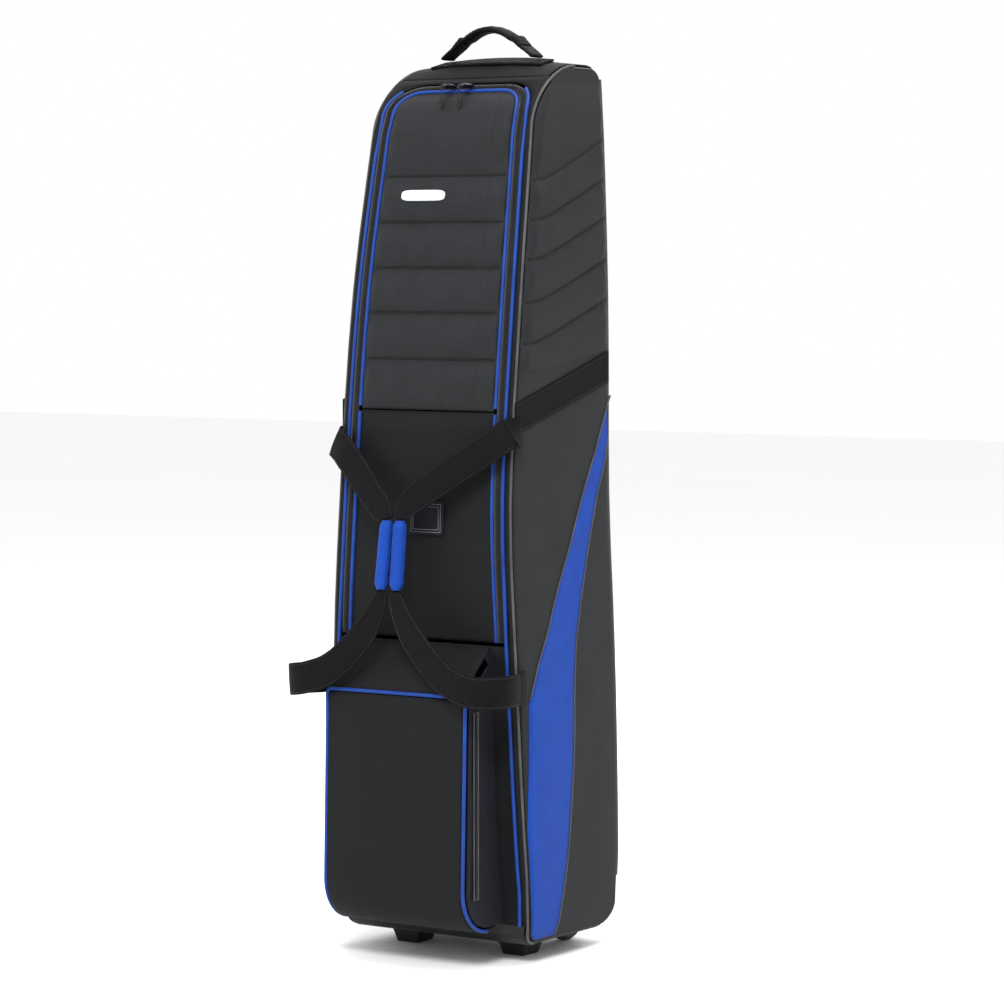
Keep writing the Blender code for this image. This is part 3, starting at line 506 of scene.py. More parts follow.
def solid(name: str, rings: Sequence[Sequence[Point]], finish: Finish, body: Optional[str],
          stands_for: Iterable[str]) -> bpy.types.Object:
    """A closed form through rings of points."""
    return link(name, grid_mesh(name, rings, UP, closed=True), finish, body, stands_for)


def cord(name: str, line: Sequence[Point], radius: float, finish: Finish,
         body: str = "case") -> bpy.types.Object:
    """A thin round cord along points."""
    return link(name, cord_mesh(name, line, radius, 8), finish, body, ())


def stitches(name: str, lines: Sequence[Sequence[Point]], out: Point, slot: str,
             body: str = "case", finish: Finish = Finish.THREAD, **size: float) -> None:
    """Rows of stitches along lines, facing one way; size may hold their pitch and radius."""
    link(name, stitch_mesh(name, lines, Vector(out), **size), finish, body, ())


def cord_mesh(name: str, path: Sequence[Point], radius: float, sides: int = 12) -> bpy.types.Curve:
    """A round cord along points, with its ends closed."""
    curve = bpy.data.curves.new(name, "CURVE")
    curve.dimensions = "3D"
    spline = curve.splines.new("POLY")
    spline.points.add(len(path) - 1)
    for point, place in zip(spline.points, path):
        point.co = (*place, 1.0)
    curve.bevel_depth = radius
    curve.bevel_resolution = max((sides - 4) // 2, 0)
    curve.use_fill_caps = True
    spline.use_smooth = True
    return curve


def smooth_line(points: Sequence[Point], step: float) -> list[Vector]:
    """Evenly spaced points on a Catmull-Rom curve through the given ones."""
    pts = [Vector(p) for p in points]
    pts = [pts[0] * 2 - pts[1]] + pts + [pts[-1] * 2 - pts[-2]]
    fine: list[Vector] = []
    for i in range(1, len(pts) - 2):
        a, b, c, d = pts[i - 1:i + 3]
        count = max(2, int((c - b).length / 0.002))
        for k in range(count):
            t = k / count
            fine.append(0.5 * (2 * b + (c - a) * t + (2 * a - 5 * b + 4 * c - d) * t ** 2
                               + (3 * b - a - 3 * c + d) * t ** 3))
    fine.append(pts[-2])
    lengths = [0.0]
    for a, b in zip(fine, fine[1:]):
        lengths.append(lengths[-1] + (b - a).length)
    count = max(2, round(lengths[-1] / step))
    out, j = [], 0
    for k in range(count + 1):
        s = lengths[-1] * k / count
        while j < len(lengths) - 2 and lengths[j + 1] < s:
            j += 1
        span = max(lengths[j + 1] - lengths[j], 1e-9)
        out.append(fine[j].lerp(fine[j + 1], min(max((s - lengths[j]) / span, 0.0), 1.0)))
    return out


def even_line(points: Sequence[Point], step: float) -> list[Vector]:
    """Evenly spaced points on straight runs, with the corners eased."""
    out = []
    for a, b in zip(points, points[1:]):
        count = max(1, round((b - a).length / step))
        out += [a.lerp(b, k / count) for k in range(count)]
    out.append(points[-1])
    for _ in range(2):
        out = [out[0], *[(a + b * 2 + c) / 4 for a, b, c in zip(out, out[1:], out[2:])], out[-1]]
    return out


BAR_FACES = ((0, 1, 2, 3), (7, 6, 5, 4), (0, 4, 5, 1), (1, 5, 6, 2), (2, 6, 7, 3), (3, 7, 4, 0))
BAR_SECTION = ((-1, -1), (1, -1), (0.6, 1), (-0.6, 1))


def bars_mesh(name: str, bars: Iterable[Sequence[Point]]) -> bpy.types.Mesh:
    """One mesh of small blocks, each given by its eight corners."""
    work = bmesh.new()
    for corners in bars:
        verts = [work.verts.new(p) for p in corners]
        for face in BAR_FACES:
            work.faces.new([verts[i] for i in face])
    bmesh.ops.recalc_face_normals(work, faces=work.faces)
    return made_mesh(work, name)


def stitch_mesh(name: str, lines: Sequence[Sequence[Point]], out: Vector,
                pitch: float = 0.0042, radius: float = 0.00045) -> bpy.types.Mesh:
    """Rows of single stitches along lines.

    Args:
        name: Mesh name.
        lines: Lines of points.
        out: The direction that the stitches face.
        pitch: Distance from stitch to stitch.
        radius: Half the thread's thickness.

    Returns:
        One mesh of small rounded blocks.
    """
    bars = []
    up = out.normalized()
    for line in lines:
        points = smooth_line(line, pitch)
        for a, b in zip(points, points[1:]):
            along = (b - a) * 0.36
            if along.length < 1e-6:
                continue
            centre = (a + b) / 2
            side = along.cross(up).normalized() * radius
            bars.append([centre + along * e + side * u + up * radius * v
                         for e in (-1, 1) for u, v in BAR_SECTION])
    return bars_mesh(name, bars)


def ramp(value: float, low: float, high: float) -> float:
    """Smooth step from 0 at low to 1 at high."""
    t = min(max((value - low) / (high - low), 0.0), 1.0)
    return t * t * (3 - 2 * t)


def interp(value: float, xs: Sequence[float], ys: Sequence[float]) -> float:
    """Straight-line interpolation in a rising list."""
    if value <= xs[0]:
        return ys[0]
    for i in range(len(xs) - 1):
        if value <= xs[i + 1]:
            return ys[i] + (ys[i + 1] - ys[i]) * (value - xs[i]) / (xs[i + 1] - xs[i])
    return ys[-1]


def gather(t: float) -> float:
    """Spreads 0..1 so that rows lie closer together at both ends."""
    return 0.35 * t + 0.65 * (1 - math.cos(math.pi * t)) / 2


def channel_height(value: float, bounds: Sequence[float]) -> float:
    """Padding height from 0 to 1 between seams, steep beside each one."""
    for low, high in zip(bounds, bounds[1:]):
        if low <= value <= high:
            return max(math.sin(math.pi * (value - low) / (high - low)), 0.0) ** 0.58 - 0.12
    return 0.0


def wrinkle(place: Vector, size: float, seed: float) -> float:
    """Soft noise between about -1 and 1, the same each run."""
    return noise.noise(place / size + Vector((seed, seed * 2.3, seed * 0.7)))


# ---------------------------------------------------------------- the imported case, measured
class Tree:
    """Rays against some CAD nodes.

    Args:
        nodes: Names of the nodes.
    """

    def __init__(self, *nodes: str) -> None:
        verts, faces = [], []
        for name in nodes:
            data = frame["nodes"][name].data
            base = len(verts)
            verts += [v.co.copy() for v in data.vertices]
            faces += [[base + i for i in p.vertices] for p in data.polygons]
        self.tree = BVHTree.FromPolygons(verts, faces)

    def hit(self, start: Point, direction: Point) -> Optional[Vector]:
        """The first point that a ray meets."""
        return self.tree.ray_cast(Vector(start), Vector(direction))[0]


@dataclass
class CaseShell:
    """The case's outer surface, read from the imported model.

    Args:
        corner: Radius of the door's top corners.
        back_reach: Distance from the middle of the case to the mount on its back.
        bend_y: How far behind the middle the front's bend has its centre.
        bend_z: Height of that centre.
        front_nodes: CAD nodes that make up the front.
    """

    corner: float = 0.032
    back_reach: float = 0.128
    bend_y: float = 0.060
    bend_z: float = 1.150
    front_nodes: tuple = ("front_surround", "door_leaf_lower", "door_leaf_upper")

    def __post_init__(self) -> None:
        """Measure the front line, the half-width and the door."""
        self.side = Tree("side_panel_right")
        low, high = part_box("side_panel_right")
        self.top_z, self.side_low_z = high.z, low.z
        self.back_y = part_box("back_panel")[1].y
        self.mid_y = frame["record"]["mounts"][2]["pos_m"][1] - self.back_reach
        self.low_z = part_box("front_surround")[0].z
        lower_low, lower_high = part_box("door_leaf_lower")
        upper_low, upper_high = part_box("door_leaf_upper")
        self.door_low_z = lower_low.z
        points = self.front_points()
        self.lengths = [0.0]
        for a, b in zip(points, points[1:]):
            self.lengths.append(self.lengths[-1] + math.dist(a, b))
        self.ys, self.zs = zip(*points)
        gauge_z = self.door_low_z + 0.02
        self.inset = self.half(gauge_z) - self.cad_half("door_leaf_lower", gauge_z)
        self.door_low = self.length_at(self.door_low_z)
        self.crease = self.length_at((lower_high.z + upper_low.z) / 2)
        self.door_top = self.length_at(upper_high.z)

    def front_points(self) -> list[tuple[float, float]]:
        """(y, z) up the middle of the front and over its bend."""
        front, hood = Tree(*self.front_nodes), Tree("hood_panel", "front_surround")
        points = []
        for z in spaced(self.low_z, self.bend_z + 0.010, 110):
            place = front.hit((0.0, -1.0, z), (0, 1, 0))
            if place is not None:
                points.append((place.y, z))
        centre = Vector((0.0, self.mid_y + self.bend_y, self.bend_z))
        for a in spaced(0.0, math.pi / 2, 60)[1:-1]:
            ray = Vector((0.0, -math.cos(a), math.sin(a)))
            place = self.hit_any((front, hood), centre + ray * 0.5, -ray)
            if place is not None and place.z > points[-1][1]:
                points.append((place.y, place.z))
        return points

    @staticmethod
    def hit_any(trees: Sequence[Tree], start: Vector, ray: Vector) -> Optional[Vector]:
        """The first hit on any of the trees."""
        hits = [t.hit(start, ray) for t in trees]
        hits = [h for h in hits if h is not None]
        return min(hits, key=lambda h: (h - start).length) if hits else None

    def cad_half(self, node: str, z: float) -> float:
        """Half-width of a node at a height, from a ray along X."""
        low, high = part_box(node)
        tree = Tree(node)
        for k in range(40):
            y = low.y + (high.y - low.y) * (k + 0.5) / 40
            place = tree.hit((1.0, y, z), (-1, 0, 0))
            if place is not None:
                return place.x
        return high.x

    def half(self, z: float) -> float:
        """Half-width of the body at a height."""
        z = min(max(z, self.side_low_z + 0.0012), self.top_z - 0.002)
        y = self.mid_y + 0.075
        place = self.side.hit((1.0, y, z), (-1, 0, 0))
        return place.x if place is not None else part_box("side_panel_right")[1].x

    def length_at(self, z: float) -> float:
        """Length up the front line at a height."""
        return interp(z, self.zs, self.lengths)

    def at(self, s: float) -> tuple[float, float]:
        """(y, z) on the front line at a length."""
        return interp(s, self.lengths, self.ys), interp(s, self.lengths, self.zs)

    def front_y(self, z: float) -> float:
        """The front's y at a height."""
        return interp(z, self.zs, self.ys)

    def normal(self, s: float) -> Vector:
        """Outward direction of the front line at a length."""
        (ya, za), (yb, zb) = self.at(s - 0.004), self.at(s + 0.004)
        along = Vector((0.0, yb - ya, zb - za)).normalized()
        return Vector((0.0, -along.z, along.y))

    def line_half(self, s: float, offset: float) -> float:
        """Half-width of a line round the door, offset in from the body's edge."""
        radius = self.corner + self.inset - offset
        below = self.door_top + self.inset - offset - s
        pull = 0.0
        if below < radius:
            pull = radius - math.sqrt(max(radius ** 2 - (radius - below) ** 2, 0.0))
        return self.half(self.at(s)[1]) - offset - pull

    def stations(self, offset: float, low: float, step: float, turns: int = 14) -> list[float]:
        """Lengths along a line round the door, closer together at its corner."""
        radius = self.corner + self.inset - offset
        top = self.door_top + self.inset - offset
        count = max(2, round((top - radius - low) / step))
        out = [low + (top - radius - low) * k / count for k in range(count)]
        return out + [top - radius * (1 - math.sin(math.pi / 2 * k / turns))
                      for k in range(turns + 1)]

    def side_span(self, z: float) -> tuple[float, float]:
        """Front and rear y of the side panel at a height."""
        z = min(max(z, self.side_low_z + 0.0012), self.top_z - 0.0006)
        x = self.half(z) - 0.0015
        front = self.side.hit((x, -1.0, z), (0, 1, 0))
        rear = self.side.hit((x, 1.0, z), (0, -1, 0))
        if front is None or rear is None:
            low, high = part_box("side_panel_right")
            return low.y, high.y
        return front.y, rear.y


# ---------------------------------------------------------------- cloth
@dataclass
class Quilter:
    """Blows a pinned sheet up between its seams by cloth simulation.

    Args:
        frames: Steps of the simulation.
        pressure: Force that swells the sheet.
        slack: Share by which the cloth is larger than its place.
        cap: Furthest that a point may move, in metres.
        share: How much of the simulated shape is kept over the padding's own height.
    """

    frames: int = 16
    pressure: float = 5.0
    slack: float = 0.018
    cap: float = 0.011
    share: float = 0.45

    def swell(self, data: bpy.types.Mesh, pinned: Sequence[int],
              padding: Sequence[float]) -> None:
        """Move the mesh's points to where the cloth comes to rest.

        Args:
            data: The sheet, its faces outward.
            pinned: Points held by seams and edges.
            padding: Height of the padding under each point.
        """
        rest = [v.co.copy() for v in data.vertices]
        normals = [v.normal.copy() for v in data.vertices]
        held = set(pinned)
        item = bpy.data.objects.new("quilt_trial", data)
        bpy.context.scene.collection.objects.link(item)
        group = item.vertex_groups.new(name="seams")
        group.add(list(held), 1.0, "REPLACE")
        cloth = item.modifiers.new("cloth", "CLOTH")
        made = cloth.settings
        made.quality = 4
        made.mass = 0.25
        made.tension_stiffness = 12.0
        made.compression_stiffness = 6.0
        made.shear_stiffness = 4.0
        made.bending_stiffness = 0.35
        made.air_damping = 3.0
        made.vertex_group_mass = "seams"
        made.use_pressure = True
        made.uniform_pressure_force = self.pressure
        made.shrink_min = -self.slack
        made.shrink_max = -self.slack
        made.effector_weights.gravity = 0.0
        cloth.point_cache.frame_start = 1
        cloth.point_cache.frame_end = self.frames
        scene = bpy.context.scene
        for step in range(1, self.frames + 1):
            scene.frame_set(step)
        seen = item.evaluated_get(bpy.context.evaluated_depsgraph_get())
        moved = [v.co.copy() for v in seen.data.vertices]
        bpy.data.objects.remove(item)
        scene.frame_set(1)
        for i, v in enumerate(data.vertices):
            shift = moved[i] - rest[i]
            out = shift.dot(normals[i])
            shift -= normals[i] * out
            out = min(max(out, -0.0008), self.cap)
            if shift.length > self.cap * 0.35:
                shift *= self.cap * 0.35 / shift.length
            height = padding[i] * (1 - self.share * 0.6) + out * self.share
            v.co = rest[i] + normals[i] * height + shift * self.share
        data.update()


# ---------------------------------------------------------------- the body
@dataclass
class SidePanels:
    """Side panels with slanted channels above and the blue inset below.

    Args:
        seams: Heights of the channel seams at the front edge.
        rise: How much higher a seam ends at the back.
        swell: Height of the padding.
        belt_z: Height of the sewn belt's middle at the front edge.
        belt_rise: How much higher that belt is at the back.
        quilt_low: Height where the quilting starts.
        quilt_top: Height above which the rows only follow the panel's top.
        blue_span: Lowest and highest point of the blue inset.
        cord_low: Height where the cord on the inset's front edge starts.
        blue_front: (z, y) of the inset's front edge, y from the middle of the case.
        blue_rear: (z, y) of its rear edge.
    """

    case: CaseShell
    belt_z: float = 0.765
    belt_rise: float = 0.068
    seams: tuple = (0.868, 0.925, 0.985, 1.040, 1.095)
    rise: float = 0.062
    swell: float = 0.0105
    thickness: float = 0.004
    columns: int = 54
    quilt_low: float = 0.830
    quilt_top: float = 1.150
    blue_span: tuple = (0.0345, 0.791)
    cord_low: float = 0.372
    blue_front: tuple = ((0.030, -0.118), (0.368, -0.105), (0.428, -0.077), (0.468, -0.053),
                         (0.509, -0.034), (0.549, -0.009), (0.590, 0.014), (0.631, 0.036),
                         (0.673, 0.060), (0.714, 0.084), (0.757, 0.106), (0.792, 0.1265))
    blue_rear: tuple = ((0.030, -0.031), (0.083, -0.023), (0.152, -0.010), (0.223, -0.002),
                        (0.293, 0.005), (0.357, 0.008), (0.434, 0.015), (0.504, 0.033),
                        (0.559, 0.052), (0.608, 0.070), (0.650, 0.087), (0.692, 0.108),
                        (0.734, 0.122), (0.792, 0.1275))

    def slant(self, z: float, t: float) -> float:
        """Height of a row at a share of the way back, slanted where it is quilted."""
        share = ramp(z, 0.800, 0.868) * (1 - ramp(z, 1.115, 1.215))
        climb = 0.22 * t + 0.78 * max(0.0, (t - 0.16) / 0.84) ** 1.08
        return z + self.rise * climb * share

    def rows(self) -> tuple[list[list[Vector]], list[float]]:
        """Rows of points on the right panel and the front height of each row."""
        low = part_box("side_panel_right")[0].z
        heights = [low + 0.030 * (1 - math.cos(math.pi / 2 * k / 8)) for k in range(8)]
        z = low + 0.030
        while z < self.quilt_low:
            heights.append(z)
            z += 0.012
        marks = [self.quilt_low, *self.seams, self.quilt_top]
        for a, b in zip(marks, marks[1:]):
            heights += [a + (b - a) * gather(k / 14) for k in range(14)]
        top = self.case.top_z
        heights += [self.quilt_top + (top - self.quilt_top) * math.sin(math.pi / 2 * k / 26)
                    for k in range(27)]
        rows = []
        for z in heights:
            row = []
            for j in range(self.columns + 1):
                t = j / self.columns
                zz = min(self.slant(z, t), top - 0.0002)
                front, rear = self.case.side_span(min(max(zz, low + 0.0002), top - 0.0003))
                y = front + (rear - front) * t
                row.append(Vector((self.case.half(zz), y, zz)))
            rows.append(row)
        return rows, heights

    def build(self) -> None:
        """Make both panels, their blue insets and the insets' piping."""
        rows, heights = self.rows()
        data = grid_mesh("side_cloth", rows, (1, 0, 0))
        width = self.columns + 1
        seam_rows = [i for i, z in enumerate(heights) if any(abs(z - s) < 1e-6 for s in self.seams)]
        held = []
        for i in range(len(rows)):
            edge = i < 2 or i > len(rows) - 3
            calm = heights[i] < self.quilt_low + 0.001
            for j in range(width):
                if edge or calm or i in seam_rows or j < 2 or j > width - 3:
                    held.append(i * width + j)
        bounds = (self.quilt_low, *self.seams, 1.236)
        padding = []
        for z in heights:
            puff = self.swell * channel_height(z, bounds)
            for j in range(width):
                t = j / self.columns
                padding.append(puff * ramp(min(t, 1 - t), -0.01, 0.07))
        Quilter(pressure=4.0, slack=0.020, cap=0.008).swell(data, held, padding)
        for i, row in enumerate(rows):
            calm = 1 - ramp(heights[i], 0.80, 0.86)
            for j in range(width):
                v = data.vertices[i * width + j]
                t = j / self.columns
                fade = math.sin(math.pi * t) ** 0.6 * ramp(heights[i], 0.03, 0.12)
                soft = 0.0030 * wrinkle(v.co, 0.16, 1.0) + 0.0012 * wrinkle(v.co, 0.055, 4.0)
                off_belt = abs(v.co.z - self.belt_z - self.belt_rise * t)
                fade *= ramp(off_belt, 0.022, 0.050)
                v.co.x += soft * fade * (0.4 + 0.6 * calm) + 0.0035 * fade * calm
        surface = BVHTree.FromPolygons([v.co for v in data.vertices],
                                       [list(p.vertices) for p in data.polygons])
        for side, sign in SIDES[::-1]:
            panel = data.copy()
            if sign < 0:
                panel.transform(Matrix.Scale(-1, 4, (1, 0, 0)))
                panel.flip_normals()
            item = link(f"side_cloth_{side}", panel, Finish.QUILT, "case",
                        [f"side_panel_{side}"])
            shell(item, self.thickness)
            # Painted shade: a near-black cord along each side seam stands in for the shadow that
            # falls in the seam.
            for index, i in enumerate(seam_rows):
                line = [data.vertices[i * width + j].co for j in range(2, width - 2)]
                cord(f"side_seam_{side}_{index + 1}", self.mirrored(line, sign, 0.0004), 0.0016,
                     Finish.SEAM_SHADE)
            self.inset_panel(side, sign, surface)
            self.belt(side, sign, surface)
        bpy.data.meshes.remove(data)

    def on_panel(self, surface: BVHTree, y: float, z: float, lift: float) -> Vector:
        """A point on the right panel, lifted off it."""
        place = surface.ray_cast(Vector((1.0, y, z)), Vector((-1, 0, 0)))[0]
        x = place.x if place is not None else self.case.half(z)
        return Vector((x + lift, y, z))

    @staticmethod
    def mirrored(line: Sequence[Vector], sign: int, lift: float = 0.0) -> list[Vector]:
        """Points of the right panel, lifted off it and put on one side."""
        return [Vector((sign * (p.x + lift), p.y, p.z)) for p in line]

    def belt(self, side: str, sign: int, surface: BVHTree) -> None:
        """The sewn belt that runs up to the back."""
        low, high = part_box(f"side_webbing_{side}")
        rows, edges = [], ([], [])
        for i in range(61):
            t = i / 60
            y = low.y + 0.0012 + (high.y - low.y - 0.0024) * t
            middle = self.belt_z + self.belt_rise * t
            row = [self.on_panel(surface, y, middle + BELT_HALF * (k / 6 - 1), 0.0013)
                   for k in range(13)]
            rows.append(self.mirrored(row, sign))
            for line, k in zip(edges, (1, 11)):
                line += self.mirrored([row[k]], sign, 0.0003)
        sheet(f"side_belt_{side}", rows, (sign, 0, 0), Finish.BELT, 0.0014,
              [f"side_webbing_{side}"])
        stitches(f"side_belt_stitches_{side}", edges, (sign, 0, 0), "webbing")

    def inset_panel(self, side: str, sign: int, surface: BVHTree) -> None:
        """The blue inset and the two thin cords along its edges."""
        mid = self.case.mid_y
        fz, fy = zip(*self.blue_front)
        rz, ry = zip(*self.blue_rear)
        rows = []
        for z in spaced(*self.blue_span, 80):
            limit_front, limit_rear = self.case.side_span(z)
            a = max(mid + interp(z, fz, fy), limit_front + 0.0008)
            b = min(mid + interp(z, rz, ry), limit_rear - 0.0008)
            b = max(b, a + 0.0012)
            rows.append([self.on_panel(surface, y, z, 0.0007) for y in spaced(a, b, 10)])
        sheet(f"blue_inset_{side}", [self.mirrored(row, sign) for row in rows], (sign, 0, 0),
              Finish.BLUE, 0.0006, ())
        front_line = [row[0] for row in rows if row[0].z > self.cord_low]
        for name, line in (("front", front_line), ("rear", [row[-1] for row in rows])):
            cord(f"inset_cord_{name}_{side}", self.mirrored(line, sign, 0.0004), 0.0011,
                 Finish.EDGE)


@dataclass
class Skin:
    """Fixed cloth of the front, hood and back.

    Args:
        edge: How far the cloth stays in from the body's edge.
        strip: Width of the cloth beside the zip.
        hood_end: Angle at which the hood meets the back, in degrees.
        back_seams: Heights of the lines drawn in on the back.
    """

    case: CaseShell
    edge: float = 0.0045
    strip: float = 0.0062
    thickness: float = 0.0035
    hood_end: float = 158.5
    back_seams: tuple = (0.34, 0.78, 1.02)

    def build(self) -> None:
        """Make the surround, hood and back."""
        self.surround()
        self.hood()
        self.hood_cords()
        self.back()

    def front_row(self, s: float, inner: float) -> list[tuple]:
        """Points across the front, with the opening's edge at both sides."""
        y, z = self.case.at(s)
        w = self.case.half(z) - self.edge
        return [(-w, y, z), *[(inner * k / 8, y, z) for k in range(-8, 9)], (w, y, z)]

    def surround(self) -> None:
        """Cloth strips beside the door and the panel behind the pocket."""
        case = self.case
        offset = self.edge + self.strip
        inner_top = case.door_top + case.inset - offset
        seam = case.length_at(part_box("front_surround")[1].z - 0.0004)
        low = [case.door_low * k / 34 for k in range(33)] + [case.door_low - 0.0055]
        rows = [self.front_row(s, case.half(case.at(s)[1]) - offset) for s in low]
        filled = len(rows) - 1
        rows += [self.front_row(s, case.line_half(s, offset))
                 for s in case.stations(offset, case.door_low, 0.02)]
        opened = len(rows) - 1
        corner = rows[opened][17][0]
        rows += [self.front_row(s, corner) for s in spaced(inner_top, seam, 3)[1:]]
        sheet("surround_cloth", rows, AHEAD, Finish.BODY, self.thickness, ["front_surround"],
              skip=lambda i, j: 1 <= j <= 16 and filled <= i < opened)

    def hood(self) -> None:
        """The crowned top with soft wrinkles that fade out towards its seams."""
        low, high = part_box("hood_panel")
        tree = Tree("hood_panel")
        centre = Vector((0.0, self.case.mid_y + 0.050, low.z - 0.03))
        start = math.atan2(low.z + 0.006 - centre.z, centre.y - low.y)
        rows = []
        for i, a in enumerate(spaced(start, math.radians(self.hood_end), 40)):
            ray = Vector((0.0, -math.cos(a), math.sin(a)))
            far = centre + ray * 0.5
            crest = tree.hit(far, -ray)
            if crest is None:
                continue
            reach = high.x
            while reach > 0.06 and tree.hit(far + Vector((reach, 0, 0)), -ray) is None:
                reach -= 0.0006
            row = []
            for u in spaced(-1, 1, 48):
                place = tree.hit(far + Vector((reach * u, 0, 0)), -ray)
                if place is None:
                    place = Vector((reach * u, crest.y, crest.z))
                fade = ramp(1 - abs(u), 0.0, 0.25) * math.sin(math.pi * (i + 0.5) / 41) ** 0.5
                lift = 0.0016 * wrinkle(place, 0.05, 7.0) + 0.0010 * wrinkle(place, 0.022, 2.0)
                row.append(place + ray * lift * fade)
            rows.append(row)
        sheet("hood_cloth", rows, UP, Finish.BODY, self.thickness, ["hood_panel"])

    def hood_cords(self) -> None:
        """Grey cords in the seams between the hood and the side panels."""
        low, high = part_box("side_panel_right")
        for side, sign in SIDES:
            line = []
            for y in spaced(low.y, high.y - 0.0015, 80):
                place = self.case.side.hit((low.x + 0.0014, y, 2.0), DOWN)
                if place is not None and place.z > self.case.top_z - 0.030:
                    line.append(Vector((sign * (low.x - 0.0002), y, place.z - 0.0004)))
            cord(f"hood_cord_{side}", line, 0.0023, Finish.EDGE)

    def back(self) -> None:
        """The flat back, slightly drawn in at its quilting lines, and its edge cords."""
        case, radius = self.case, 0.0031
        low_z, high_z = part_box("back_panel")[0].z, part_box("hood_panel")[0].z + 0.009
        rows = []
        for z in spaced(low_z, high_z, 90):
            groove = sum(math.exp(-((z - mark) / 0.004) ** 2) for mark in self.back_seams)
            row = []
            for u in spaced(-1, 1, 32):
                x = (case.half(z) - self.edge) * u
                soft = 0.0010 * wrinkle(Vector((x, 0.0, z)), 0.12, 3.0) * (1 - u * u)
                row.append((x, case.back_y - 0.0012 + soft - 0.0016 * min(groove, 1.0), z))
            rows.append(row)
        sheet("back_cloth", rows, (0, 1, 0), Finish.BODY, self.thickness - 0.001, ["back_panel"])
        for side, sign in SIDES:
            path = [(sign * (case.half(z) - radius), case.back_y - 0.0036, z)
                    for z in spaced(low_z, high_z, 60)]
            cord(f"back_cord_{side}", path, radius, Finish.EDGE)


